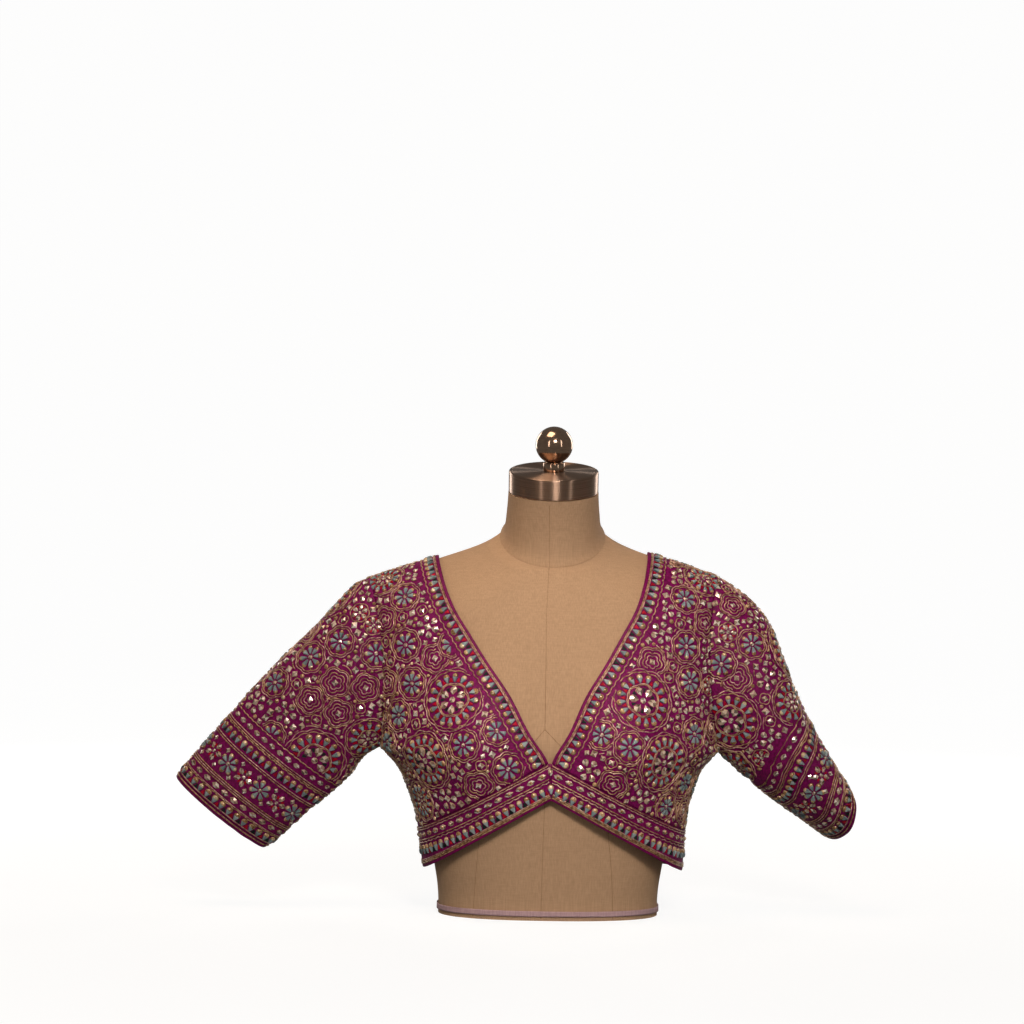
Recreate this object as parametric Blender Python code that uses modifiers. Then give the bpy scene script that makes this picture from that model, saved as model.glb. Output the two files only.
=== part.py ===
"""A choli blouse worn on a limbless half dress form. Metres, +Z up, the front faces -Y, the base is at z 0.

The blouse's outer surface is a depth before or behind the side-seam plane, worked out from its
widths, depths, shoulder line and bust. Each panel is a grid on that surface, with a wall inside it.
"""

import math

import bmesh
import bpy
import numpy as np
from mathutils import Matrix, Vector

MM = 0.001
FRONT = -1
BACK = 1
WEARERS_RIGHT = -1
WEARERS_LEFT = 1

# Cloth and seams, in millimetres
CLOTH = 1.8
BINDING_THICKNESS = 2.4
BINDING_CROWN = 0.5
BINDING_WIDTH = 5.5
SEAM_GAP = 0.34

# Shoulder line: its height at one place across, its fall outwards, and how far it rounds over
SHOULDER_X = 78.0
SHOULDER_Z = 411.0
SHOULDER_FALL = 0.33
SHOULDER_ROUND = 75.0
BLOUSE_LIFT = 3.65
SECTION_POWER = 2.4

# The blouse hangs a little askew: it lies this far to the wearer's left at the hem, less higher up
HEM_Z = 50.0
SLIDE_AT_HEM = 5.0
SLIDE_FALL = 0.045

# Bust: place across and up, how far it stands out, and its half spreads
APEX_X = 85.0
APEX_Z = 185.0
APEX_RISE = 22.0
APEX_SPREAD_X = 46.0
APEX_SPREAD_UP = 75.0
APEX_SPREAD_DOWN = {"form": 50.0, "blouse": 64.0}

# Half width at the side, and depth at the centre front and back: height, size
BLOUSE_SIDE = (
    (40, 144), (50, 145), (70, 147), (90, 149), (115, 152), (135, 158),
    (150, 163.5), (160, 168), (172, 177), (180, 184), (184, 188),
)
BLOUSE_FRONT = (
    (40, 104), (90, 108), (133, 112), (174, 116), (200, 116), (240, 110),
    (280, 100.5), (320, 90), (360, 77), (390, 67), (415, 58),
)
BLOUSE_BACK = (
    (40, 103), (90, 104), (120, 105), (200, 109.5), (260, 112), (320, 108),
    (360, 98), (400, 82), (415, 74),
)
FORM_SIDE = (
    (0, 122.5), (8, 122.3), (30, 123.5), (52, 127), (90, 134), (120, 140), (160, 148),
    (190, 151), (230, 153), (270, 157), (310, 165), (345, 171), (370, 169), (390, 156),
)
FORM_FRONT = (
    (0, 88), (8, 87), (50, 90), (100, 97), (135, 102), (175, 108), (190, 109), (230, 105),
    (280, 97), (320, 88), (360, 75), (386, 64), (421, 57), (460, 52),
)
FORM_BACK = (
    (0, 86), (50, 90), (120, 98), (200, 105), (260, 108), (320, 104), (360, 94),
    (400, 80), (425, 70), (455, 62.5),
)

# Front neckline: height, half width to the bare edge of the binding
NECKLINE = (
    (170, 0), (177, 2.6), (205, 20), (249, 42), (284, 65), (312, 82), (342, 99.5),
    (367, 109), (396, 116), (412, 118.5),
)
BACK_NECK_BOTTOM = 318.0
BACK_NECK_POWER = 2.3
BINDING_ACROSS = 6.0

# Armhole: the underarm's height, the seam's half width at three heights, its half depths
UNDERARM_Z = 184.0
ARMHOLE_X = {"top": 194.0, "middle": 181.0, "under": 188.0}
ARMHOLE_DEPTH = {FRONT: 47.0, BACK: 50.0}

# Hem band: height of its top seam and of the hem, at the centre front and at the side
BAND_TOP = {"centre": 175.0, "side": 95.0}
HEM = {"centre": 133.5, "side": 50.0}

# Soft drag folds on the bodice: facing, side, start across and up, end across and up, rise, half width
BODICE_FOLDS = (
    (FRONT, WEARERS_RIGHT, 172, 196, 118, 158, 2.6, 9),
    (FRONT, WEARERS_RIGHT, 166, 176, 128, 118, -2.2, 8),
    (FRONT, WEARERS_LEFT, 176, 200, 120, 168, 2.4, 9),
    (FRONT, WEARERS_LEFT, 164, 172, 130, 112, -2.2, 8),
    (FRONT, WEARERS_LEFT, 172, 262, 138, 226, -2.0, 9),
    (FRONT, WEARERS_RIGHT, 172, 270, 140, 232, -1.8, 9),
    (BACK, WEARERS_RIGHT, 168, 200, 96, 164, 2.6, 11),
    (BACK, WEARERS_LEFT, 170, 204, 104, 176, 2.4, 11),
    (BACK, WEARERS_LEFT, 150, 150, 84, 118, -2.0, 10),
    (BACK, WEARERS_RIGHT, 152, 154, 88, 112, -2.0, 10),
)

# Sleeves, from the armhole to the cuff. Columns: top edge across and up, under edge across and up,
# how far back the middle lies, half depth, and how far the near side leans out along the sleeve
SLEEVE_ROWS = {
    WEARERS_RIGHT: (
        (-204, 374, -189, 184, 0, 47, -9),
        (-223, 362, -200, 178, 1, 47, -3),
        (-246, 337, -212, 168, 2, 45, 3),
        (-268, 313, -222, 153, 3, 42, 8),
        (-291, 291, -238, 137, 5, 39, 10),
        (-315, 266, -253, 124, 7, 36, 11),
        (-338, 241, -268, 111, 9, 34, 11),
        (-360, 216, -281, 99, 11, 33, 10),
        (-380, 193, -293, 88, 13, 32, 8),
        (-399, 171, -304, 78, 15, 31, 6),
        (-416, 150, -314, 70, 17, 30, 4),
    ),
    WEARERS_LEFT: (
        (184, 380, 187, 184, 0, 47, -9),
        (205, 366, 193, 179, 1, 50, -4),
        (227, 349, 203, 170, 3, 52, 0),
        (244, 327, 214, 160, 6, 54, 4),
        (256, 299, 226, 150, 9, 55, 8),
        (266, 271, 238, 140, 13, 55, 12),
        (277, 243, 251, 130, 17, 55, 14),
        (289, 217, 265, 120, 21, 55, 16),
        (303, 193, 280, 110, 25, 55, 17),
        (316, 171, 296, 99, 29, 55, 18),
        (327, 152, 314, 87, 33, 54, 18),
    ),
}
SLEEVE_BLEND = 0.34
SLEEVE_START = 0.02

# Soft folds on the sleeves: side, place along (0 to 1), angle from the top edge, turn of the fold
# along the sleeve, rise, half length along, half width in degrees
SLEEVE_FOLDS = (
    (WEARERS_RIGHT, 0.20, 122, 40, -4.0, 0.20, 13),
    (WEARERS_RIGHT, 0.30, 150, 30, 3.0, 0.16, 12),
    (WEARERS_RIGHT, 0.55, 64, -40, -2.0, 0.22, 14),
    (WEARERS_RIGHT, 0.34, 236, -36, -3.5, 0.22, 14),
    (WEARERS_LEFT, 0.16, 118, 44, -4.0, 0.17, 13),
    (WEARERS_LEFT, 0.30, 142, 30, 3.0, 0.16, 12),
    (WEARERS_LEFT, 0.62, 40, 40, -3.0, 0.26, 13),
    (WEARERS_LEFT, 0.30, 240, -40, -3.5, 0.22, 14),
)

# How finely the solids are cut
SIDE_ROWS = 5
ARMHOLE_ROWS = 14
PANEL_COLUMNS = 11
BACK_CENTRE_ROWS = 10
BAND_ROWS = 2
SLEEVE_RINGS = 13
FORM_SEGMENTS = 44
FORM_LOWER_ROWS = 15
FORM_SHOULDER_ROWS = 6

# Dress form: the tilted neck seam, the leaning neck, its metal cap and ball
NECK_FLARE = 48.0
NECK_FLARE_SPREAD = 42.0
NECK_SEAM = {"y": -6.0, "z": 420.5, "tilt": 31.5}
CAP = {"y": -21.6, "z": 470.9, "tilt": 13.0, "radius": 50.0, "height": 24.0, "bevel": 1.4}
NECK_RINGS = (  # share of the way up, half width, half depth
    (0.0, 59.0, 64.5), (0.10, 55.6, 60.6), (0.24, 53.6, 57.2), (0.50, 52.0, 53.6),
    (0.78, 50.8, 51.2), (1.0, 50.2, 50.2),
)
BALL_RADIUS = 20.7
BALL_RISE = 29.0
STUB_RADIUS = 12.0
STUB_HEIGHT = 9.5
GROOVE_RADIUS = 8.5
TAPE = {"low": 4.5, "high": 10.5, "thickness": 1.0, "off": 1.0}

# sRGB colour, roughness, metallic
MATERIALS = {
    "embroidered_silk": ((0.43, 0.10, 0.30), 0.62, 0.0),
    "binding_silk": ((0.44, 0.02, 0.27), 0.5, 0.0),
    "linen": ((0.66, 0.51, 0.37), 0.9, 0.0),
    "tape": ((0.67, 0.53, 0.52), 0.85, 0.0),
    "steel": ((0.62, 0.58, 0.54), 0.3, 1.0),
}


def clear_scene():
    for thing in list(bpy.data.objects):
        bpy.data.objects.remove(thing)


def make_materials():
    made = {}
    for name, (colour, roughness, metallic) in MATERIALS.items():
        material = bpy.data.materials.new(name)
        material.use_nodes = True
        shader = material.node_tree.nodes["Principled BSDF"]
        linear = [((c + 0.055) / 1.055) ** 2.4 for c in colour]
        shader.inputs["Base Color"].default_value = (*linear, 1)
        shader.inputs["Roughness"].default_value = roughness
        shader.inputs["Metallic"].default_value = metallic
        made[name] = material
    return made


def smooth_curve(rows, where):
    """A cubic through the rows of a table (first column against the rest), eased at each row."""
    table = np.array(rows, float)
    knots, values = table[:, 0], table[:, 1:]
    slopes = np.gradient(values, knots, axis=0)
    where = np.clip(np.asarray(where, float), knots[0], knots[-1])
    low = np.clip(np.searchsorted(knots, where, side="right") - 1, 0, len(knots) - 2)
    span = (knots[low + 1] - knots[low])[..., None]
    t = (where - knots[low])[..., None] / span
    made = (
        (1 + 2 * t) * (1 - t) ** 2 * values[low]
        + t * (1 - t) ** 2 * span * slopes[low]
        + t * t * (3 - 2 * t) * values[low + 1]
        + t * t * (t - 1) * span * slopes[low + 1]
    )
    return made[..., 0] if values.shape[1] == 1 else made


def unit(vectors):
    return vectors / np.maximum(np.linalg.norm(vectors, axis=-1, keepdims=True), 1e-12)


# The blouse's surface


def slide(z):
    """How far the blouse lies to the wearer's left at a height."""
    return SLIDE_AT_HEM - SLIDE_FALL * (z - HEM_Z)


def shoulder_height(x, lift=BLOUSE_LIFT):
    return SHOULDER_Z + lift - SHOULDER_FALL * (np.abs(x) - SHOULDER_X)


def rounding(below_shoulder):
    """From 0 on the shoulder line to 1 where the shoulder has rounded over, as a quarter ellipse."""
    t = np.clip(below_shoulder / SHOULDER_ROUND, 0, 1)
    return np.sqrt(1 - (1 - t) ** 2)


def across_section(share):
    """A section's depth against its middle, as a superellipse, at a share of the half width."""
    return (1 - np.clip(share, 0, 1) ** SECTION_POWER) ** (1 / SECTION_POWER)


def bust(x, z, worn):
    away_x = (np.abs(x) - APEX_X) / APEX_SPREAD_X
    spread = np.where(z > APEX_Z, APEX_SPREAD_UP, APEX_SPREAD_DOWN[worn])
    return APEX_RISE * np.exp(-(away_x**2) - ((z - APEX_Z) / spread) ** 2)


def armhole_span(side):
    """The armhole's top, on the shoulder line, then its middle and its half height."""
    top = 375.0
    for _ in range(20):
        top = shoulder_height(side * ARMHOLE_X["top"] + slide(top))
    return top, (top + UNDERARM_Z) / 2, (top - UNDERARM_Z) / 2


def armhole_x(z, side):
    _, middle, half = armhole_span(side)
    share = np.clip((z - middle) / half, -1, 1)
    end = np.where(share > 0, ARMHOLE_X["top"], ARMHOLE_X["under"])
    seam = ARMHOLE_X["middle"] + (end - ARMHOLE_X["middle"]) * share**2
    return side * seam + slide(z)


def half_width(z, side, facing):
    """The section's half width, on the wearer's right or left.

    Under the arm it is the side seam's. Above, it is such that the section passes the armhole seam.
    """
    z = np.asarray(z, float)
    low = smooth_curve(BLOUSE_SIDE, z) + side * slide(z)
    _, middle, half = armhole_span(side)
    share = np.clip((z - middle) / half, -1, 1)
    seam = armhole_x(z, side)
    depth = smooth_curve(BLOUSE_FRONT if facing == FRONT else BLOUSE_BACK, z)
    depth = depth * rounding(shoulder_height(seam) - z)
    wanted = ARMHOLE_DEPTH[facing] * np.sqrt(1 - share**2)
    ratio = np.clip(wanted / np.maximum(depth, 1e-6), 0, 0.72)
    high = side * seam / (1 - ratio**SECTION_POWER) ** (1 / SECTION_POWER)
    return np.where(z < UNDERARM_Z, low, high)


def folds(x, z, side, facing):
    """Soft ridges and troughs, each a bell across its line that fades in and out along it."""
    total = np.zeros(np.broadcast(x, z).shape)
    for faces, of_side, x0, z0, x1, z1, rise, width in BODICE_FOLDS:
        if (faces, of_side) != (facing, side):
            continue
        line = np.array([x1 - x0, z1 - z0], float)
        length = np.linalg.norm(line)
        line = line / length
        along = ((side * x - x0) * line[0] + (z - z0) * line[1]) / length
        apart = -(side * x - x0) * line[1] + (z - z0) * line[0]
        fade = np.clip(np.sin(np.pi * np.clip(along, 0, 1)), 0, 1)
        total = total + rise * fade * np.exp(-((apart / width) ** 2))
    return total


def blouse_depth(x, z, side, facing):
    """How far the blouse's outer face is before or behind the side-seam plane."""
    x, z = np.broadcast_arrays(np.asarray(x, float), np.asarray(z, float))
    share = np.abs(x) / half_width(z, side, facing)
    depth = smooth_curve(BLOUSE_FRONT if facing == FRONT else BLOUSE_BACK, z)
    depth = depth * across_section(share)
    extra = folds(x, z, side, facing)
    if facing == FRONT:
        extra = extra + bust(x, z, "blouse")
    depth = depth + extra * (1 - np.clip(share, 0, 1) ** 6)
    return depth * rounding(shoulder_height(x) - z)


def blouse_points(x, z, side, facing):
    depth = blouse_depth(x, z, side, facing)
    return np.stack([x + 0 * depth, facing * depth, z + 0 * depth], axis=-1)


def blouse_normals(x, z, side, facing):
    """Outward normals, from how the square of the depth changes across and up."""
    step = 0.25
    depth = blouse_depth(x, z, side, facing)

    def squared(dx, dz):
        return blouse_depth(x + dx, z + dz, side, facing) ** 2

    slope_x = (squared(step, 0) - squared(-step, 0)) / (2 * step)
    slope_z = (squared(0, step) - squared(0, -step)) / (2 * step)
    return unit(np.stack([-slope_x, 2 * facing * depth, -slope_z], axis=-1))


# Seam lines, as (x, z) on the wearer's right or left


def evenly(x, z, side, facing, count):
    """count + 1 places at equal distances along a line of many close (x, z) places."""
    points = blouse_points(x, z, side, facing)
    walked = np.concatenate([[0], np.cumsum(np.linalg.norm(np.diff(points, axis=0), axis=1))])
    stops = np.linspace(0, walked[-1], count + 1)
    return np.interp(stops, walked, x), np.interp(stops, walked, z)


def neck_end(side, outset):
    """Where the necklines end on the shoulder line: half width and height."""
    top = 400.0
    for _ in range(20):
        half = smooth_curve(NECKLINE, top) + outset
        top = float(shoulder_height(side * half + slide(top)))
    return half, top


def band_seam_height(x, side):
    """The front band's top seam is straight, from the centre front down to the side seam."""
    x0, z0 = slide(BAND_TOP["centre"]), BAND_TOP["centre"]
    z1 = BAND_TOP["side"]
    x1 = side * half_width(z1, side, FRONT)
    return z0 + (z1 - z0) * (x - x0) / (x1 - x0)


def front_neckline(side, outset, count):
    """The front neckline, from the V's point to the shoulder line, outset from the bare edge."""
    _, top = neck_end(side, outset)
    low = BAND_TOP["centre"]
    for _ in range(40):
        low = float(
            band_seam_height(side * (smooth_curve(NECKLINE, low) + outset) + slide(low), side)
        )
    z = top - (top - low) * (1 - np.linspace(0, 1, 600)) ** 2
    x = side * (smooth_curve(NECKLINE, z) + outset) + slide(z)
    return evenly(x, z, side, FRONT, count)


def back_neckline(side, outset, count):
    """The back neckline, from the centre back to the shoulder line: a quarter superellipse."""
    width, top = neck_end(side, outset)
    angle = np.linspace(0, np.pi / 2, 600)
    bottom = BACK_NECK_BOTTOM - outset
    z = top - (top - bottom) * np.cos(angle) ** (2 / BACK_NECK_POWER)
    x = side * width * np.sin(angle) ** (2 / BACK_NECK_POWER) + slide(z)
    return evenly(x, z, side, BACK, count)


def armhole_angles(facing):
    """Angles round the armhole from the underarm to the shoulder, by the front or by the back."""
    return np.pi + facing * np.linspace(0, np.pi, ARMHOLE_ROWS + 1)


def outer_seam(side, facing):
    """The side seam from the band up to the underarm, then the armhole up to the shoulder."""
    low = np.linspace(BAND_TOP["side"], UNDERARM_Z, SIDE_ROWS + 1)[:-1]
    _, middle, half = armhole_span(side)
    high = middle + half * np.cos(armhole_angles(facing))
    x = np.concatenate([side * half_width(low, side, facing), armhole_x(high, side)])
    return x, np.concatenate([low, high])


def column_shares(rows):
    """Shares of the way from the inner edge to the outer seam: closer together where a row turns
    round the side, nearly even at the shoulder."""
    u = np.linspace(0, 1, PANEL_COLUMNS + 1)
    round_side = np.clip(1.3 - 1.0 * np.arange(rows + 1) / rows, 0.3, 1)[:, None]
    return round_side * np.sin(np.pi / 2 * u) + (1 - round_side) * u


def panel_places(side, facing):
    """The (x, z) grid of a front or a back panel: a row from its inner edge to its outer seam."""
    rows = SIDE_ROWS + ARMHOLE_ROWS
    if facing == FRONT:
        inner_x, inner_z = front_neckline(side, BINDING_ACROSS, rows)
    else:
        neck_x, neck_z = back_neckline(side, BINDING_ACROSS, rows - BACK_CENTRE_ROWS)
        centre_z = np.linspace(BAND_TOP["side"], neck_z[0], BACK_CENTRE_ROWS + 1)[:-1]
        inner_x = np.concatenate([slide(centre_z), neck_x])
        inner_z = np.concatenate([centre_z, neck_z])
    outer_x, outer_z = outer_seam(side, facing)
    share = column_shares(rows)
    x = inner_x[:, None] + (outer_x - inner_x)[:, None] * share
    z = inner_z[:, None] + (outer_z - inner_z)[:, None] * share
    return x, z


def band_places(side, facing, low_share, high_share, rows):
    """The (x, z) grid of a strip of the hem band, between two shares of its height.

    Its columns are the panel's own, with one more at the centre front.
    """
    top_x, top_z = (place[0] for place in panel_places(side, facing))
    if facing == FRONT:
        top_x = np.concatenate([[slide(BAND_TOP["centre"])], top_x])
        top_z = np.concatenate([[BAND_TOP["centre"]], top_z])
    edge_x = side * half_width(top_z, side, facing)
    share_across = (top_x - slide(top_z)) / (edge_x - slide(top_z))
    centre = "centre" if facing == FRONT else "side"
    hem_z = HEM[centre] + (HEM["side"] - HEM[centre]) * share_across
    height = np.linspace(low_share, high_share, rows + 1)[:, None]
    z = hem_z + (top_z - hem_z) * height
    x = slide(z) + (side * half_width(z, side, facing) - slide(z)) * share_across
    return x, z


# Sleeves


def armhole_ring(angle, side, of_surface):
    """The armhole seam's points or normals, by angle: top, front, underarm, back."""
    _, middle, half = armhole_span(side)
    z = middle + half * np.cos(angle)
    x = armhole_x(z, side)
    front, back = (of_surface(x, z, side, facing) for facing in (FRONT, BACK))
    at_front = np.clip(0.5 + np.sin(angle) * 1e6, 0, 1)[..., None]
    return front * at_front + back * (1 - at_front)


def sleeve_ring(along, angle, side):
    """A point of the sleeve: an ellipse between its top and under edges, leaned along the sleeve."""
    rows = SLEEVE_ROWS[side]
    table = [(k / (len(rows) - 1), *row) for k, row in enumerate(rows)]
    top_x, top_z, under_x, under_z, back, depth, lean = np.moveaxis(
        smooth_curve(table, along), -1, 0
    )
    half_x, half_z = (top_x - under_x) / 2, (top_z - under_z) / 2
    out = unit(np.stack([side * half_z, 0 * half_z, -side * half_x], axis=-1))
    level, near = np.cos(angle), np.sin(angle)
    points = np.stack(
        [
            (top_x + under_x) / 2 + half_x * level,
            back - depth * near,
            (top_z + under_z) / 2 + half_z * level,
        ],
        axis=-1,
    )
    return points + out * (lean * near)[..., None]


def sleeve_swell(along, angle, side):
    """Soft folds: bells across a line that turns round the sleeve as it runs along it."""
    total = np.zeros(np.broadcast(along, angle).shape)
    degrees = np.degrees(angle) % 360
    for of_side, place, at, turn, rise, length, width in SLEEVE_FOLDS:
        if of_side != side:
            continue
        from_place = (along - place) / length
        off = (degrees - at - turn * from_place + 180) % 360 - 180
        total = total + rise * np.exp(-(from_place**2) - (off / width) ** 2)
    return total * np.clip(along / 0.08, 0, 1)


def sleeve_points(along, angle, side):
    """The sleeve's outer face. Near the armhole it eases into the seam's own line."""
    along, angle = np.broadcast_arrays(np.asarray(along, float), np.asarray(angle, float))
    seam = armhole_ring(angle, side, blouse_points)
    ease = np.clip(1 - along / SLEEVE_BLEND, 0, 1)[..., None] ** 2
    points = sleeve_ring(along, angle, side)
    points = points + (seam - sleeve_ring(0 * along, angle, side)) * ease
    centre = (sleeve_ring(along, 0 * angle, side) + sleeve_ring(along, 0 * angle + np.pi, side)) / 2
    return points + unit(points - centre) * sleeve_swell(along, angle, side)[..., None]


def sleeve_normals(along, angle, side):
    step = 0.004
    before, after = np.clip(along - step, 0, 1), np.clip(along + step, 0, 1)
    down = sleeve_points(after, angle, side) - sleeve_points(before, angle, side)
    around = sleeve_points(along, angle + step, side) - sleeve_points(along, angle - step, side)
    return side * unit(np.cross(around, down))


def armhole_mitre(angle, side):
    """The wall's direction at the armhole seam, halfway between the panels' and the sleeve's."""
    panel = armhole_ring(angle, side, blouse_normals)
    sleeve = sleeve_normals(SLEEVE_START + 0 * angle, angle, side)
    middle = unit(panel + sleeve)
    return middle / np.maximum(np.sum(middle * panel, axis=-1, keepdims=True), 0.7)


# Making the solids


def inset(points, amount, closed):
    """Moves a grid's edges towards the next points, so that a seam has its gap."""
    moved = points.copy()
    edges = [(0, 1), (-1, -2)]
    for edge, beside in edges:
        moved[edge] += amount * unit(points[beside] - points[edge])
    if not closed:
        for edge, beside in edges:
            moved[:, edge] += amount * unit(points[:, beside] - points[:, edge])
    return moved


def add_object(name, mesh, material, collection):
    made = bpy.data.objects.new(name, mesh)
    made.data.materials.append(material)
    collection.objects.link(made)
    return made


def cloth_wall(name, points, normals, thickness, material, collection, closed=False):
    """A closed solid: the grid as its outer face, the same grid moved inwards, and the edges.

    thickness is one number, or one for each point. closed joins each row's end to its start.
    """
    thickness = np.broadcast_to(np.asarray(thickness, float), points.shape[:2])
    outer = inset(points, SEAM_GAP / 2, closed)
    inner = outer - normals * thickness[..., None]
    rows, columns = points.shape[:2]
    bm = bmesh.new()
    outside = [[bm.verts.new(Vector(p) * MM) for p in row] for row in outer]
    inside = [[bm.verts.new(Vector(p) * MM) for p in row] for row in inner]
    around = range(columns) if closed else range(columns - 1)
    for j in range(rows - 1):
        for i in around:
            k = (i + 1) % columns
            bm.faces.new([outside[j][i], outside[j][k], outside[j + 1][k], outside[j + 1][i]])
            bm.faces.new([inside[j][i], inside[j + 1][i], inside[j + 1][k], inside[j][k]])
    for i in around:
        k = (i + 1) % columns
        bm.faces.new([outside[0][k], outside[0][i], inside[0][i], inside[0][k]])
        bm.faces.new([outside[-1][i], outside[-1][k], inside[-1][k], inside[-1][i]])
    if not closed:
        for j in range(rows - 1):
            bm.faces.new([outside[j][0], outside[j + 1][0], inside[j + 1][0], inside[j][0]])
            bm.faces.new([outside[j + 1][-1], outside[j][-1], inside[j][-1], inside[j + 1][-1]])
    bmesh.ops.triangulate(bm, faces=bm.faces, quad_method="SHORT_EDGE")
    bmesh.ops.recalc_face_normals(bm, faces=bm.faces)
    mesh = bpy.data.meshes.new(name)
    bm.to_mesh(mesh)
    bm.free()
    mesh.shade_smooth()
    mesh.set_sharp_from_angle(angle=math.radians(50))
    return add_object(name, mesh, material, collection)


def side_name(side):
    return "right" if side == WEARERS_RIGHT else "left"


def face_name(facing):
    return "front" if facing == FRONT else "back"


def make_panels(materials, collection):
    """The two fronts and the two backs."""
    for facing in (FRONT, BACK):
        for side in (WEARERS_RIGHT, WEARERS_LEFT):
            x, z = panel_places(side, facing)
            normals = blouse_normals(x, z, side, facing)
            normals[SIDE_ROWS:, -1] = armhole_mitre(armhole_angles(facing), side)
            cloth_wall(
                f"{face_name(facing)}_{side_name(side)}",
                blouse_points(x, z, side, facing),
                normals,
                CLOTH,
                materials["embroidered_silk"],
                collection,
            )


def crowned(points, normals):
    """A strip of three rows whose middle row stands proud, as a folded binding does."""
    points = points.copy()
    points[1] += BINDING_CROWN * normals[1]
    return points


def make_band(materials, collection):
    """The hem band in four pieces, and the binding under each half of it."""
    binding_share = BINDING_WIDTH / (BAND_TOP["side"] - HEM["side"])
    for side in (WEARERS_RIGHT, WEARERS_LEFT):
        strips = []
        for facing in (FRONT, BACK):
            x, z = band_places(side, facing, binding_share, 1, BAND_ROWS)
            cloth_wall(
                f"band_{face_name(facing)}_{side_name(side)}",
                blouse_points(x, z, side, facing),
                blouse_normals(x, z, side, facing),
                CLOTH,
                materials["embroidered_silk"],
                collection,
            )
            x, z = band_places(side, facing, 0, binding_share, 2)
            strips.append(
                (blouse_points(x, z, side, facing), blouse_normals(x, z, side, facing))
            )
        (front, front_normals), (back, back_normals) = strips
        points = np.concatenate([front, back[:, -2::-1]], axis=1)
        normals = np.concatenate([front_normals, back_normals[:, -2::-1]], axis=1)
        cloth_wall(
            f"hem_binding_{side_name(side)}",
            crowned(points, normals),
            normals,
            BINDING_THICKNESS,
            materials["binding_silk"],
            collection,
        )


def neck_strip(line, side, facing, count):
    """Points and normals of three lines side by side: the bare edge, the middle, the seam."""
    points, normals = [], []
    for outset in (0, BINDING_ACROSS / 2, BINDING_ACROSS):
        x, z = line(side, outset, count)
        points.append(blouse_points(x, z, side, facing))
        normals.append(blouse_normals(x, z, side, facing))
    return np.array(points), np.array(normals)


def make_neck_binding(materials, collection):
    rows = SIDE_ROWS + ARMHOLE_ROWS
    for side in (WEARERS_RIGHT, WEARERS_LEFT):
        front, front_normals = neck_strip(front_neckline, side, FRONT, rows)
        back, back_normals = neck_strip(back_neckline, side, BACK, rows - BACK_CENTRE_ROWS)
        points = np.concatenate([front, back[:, -2::-1]], axis=1)
        normals = np.concatenate([front_normals, back_normals[:, -2::-1]], axis=1)
        cloth_wall(
            f"neck_binding_{side_name(side)}",
            crowned(points, normals),
            normals,
            BINDING_THICKNESS,
            materials["binding_silk"],
            collection,
        )


def make_sleeves(materials, collection):
    """Each sleeve is one tube, sewn to itself under the arm, with a binding round its cuff."""
    angle = np.linspace(0, 2 * np.pi, 2 * ARMHOLE_ROWS + 1)[:-1]
    along = np.linspace(0, 1, SLEEVE_RINGS + 1)[:, None]
    for side in (WEARERS_RIGHT, WEARERS_LEFT):
        points = sleeve_points(along, angle[None, :], side)
        normals = sleeve_normals(along, angle[None, :], side)
        normals[0] = armhole_mitre(angle, side)
        cloth_wall(
            f"sleeve_{side_name(side)}",
            points,
            normals,
            CLOTH,
            materials["embroidered_silk"],
            collection,
            closed=True,
        )
        run = unit(points[-1] - points[-2])
        widths = np.array([0, 0.5, 1])[:, None, None] * BINDING_WIDTH
        cuff = points[-1] + widths * run
        cuff_normals = np.broadcast_to(normals[-1], cuff.shape)
        cloth_wall(
            f"cuff_binding_{side_name(side)}",
            crowned(cuff, cuff_normals),
            cuff_normals,
            BINDING_THICKNESS,
            materials["binding_silk"],
            collection,
            closed=True,
        )


# The dress form


def form_shoulder(x):
    """The form's shoulder line, which flares up into the neck."""
    return shoulder_height(x, 0) + NECK_FLARE * np.exp(-((x / NECK_FLARE_SPREAD) ** 2))


def form_depth(x, z, facing):
    share = np.abs(x) / smooth_curve(FORM_SIDE, z)
    depth = smooth_curve(FORM_FRONT if facing == FRONT else FORM_BACK, z)
    depth = depth * across_section(share)
    if facing == FRONT:
        depth = depth + bust(x, z, "form") * (1 - np.clip(share, 0, 1) ** 6)
    return depth * rounding(form_shoulder(x) - z)


def form_ring(height_of, segments=FORM_SEGMENTS, outset=0.0):
    """One ring of the form. height_of gives a ring's height at a place across."""
    end = 150.0
    for _ in range(30):
        end = float(smooth_curve(FORM_SIDE, height_of(end)))
    turn = np.linspace(0, 2 * np.pi, segments + 1)[:-1]
    x = end * np.sin(turn)
    z = height_of(x) + 0 * x
    y = np.where(
        np.cos(turn) >= 0, -form_depth(x, z, FRONT), form_depth(x, z, BACK)
    )
    y = np.where(np.abs(np.cos(turn)) < 1e-9, 0, y)
    ring = np.stack([x, y, z], axis=-1)
    away = unit(np.stack([x / end**2, y / 90.0**2, 0 * z], axis=-1))
    return ring + outset * away


def loft(name, rings, material, collection):
    """A closed solid through rings of equal counts, flat at both ends unless a ring has closed up."""
    bm = bmesh.new()
    loops = [[bm.verts.new(Vector(p) * MM) for p in ring] for ring in rings]
    for low, high in zip(loops, loops[1:]):
        for i in range(len(low)):
            k = (i + 1) % len(low)
            bm.faces.new([low[i], low[k], high[k], high[i]])
    bm.faces.new(loops[0][::-1])
    bm.faces.new(loops[-1])
    bmesh.ops.remove_doubles(bm, verts=bm.verts, dist=0.00002)
    flat = [face for face in bm.faces if face.calc_area() < 1e-10]
    bmesh.ops.delete(bm, geom=flat, context="FACES_ONLY")
    bmesh.ops.triangulate(bm, faces=bm.faces)
    bmesh.ops.recalc_face_normals(bm, faces=bm.faces)
    mesh = bpy.data.meshes.new(name)
    bm.to_mesh(mesh)
    bm.free()
    mesh.shade_smooth()
    mesh.set_sharp_from_angle(angle=math.radians(40))
    return add_object(name, mesh, material, collection)


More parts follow.
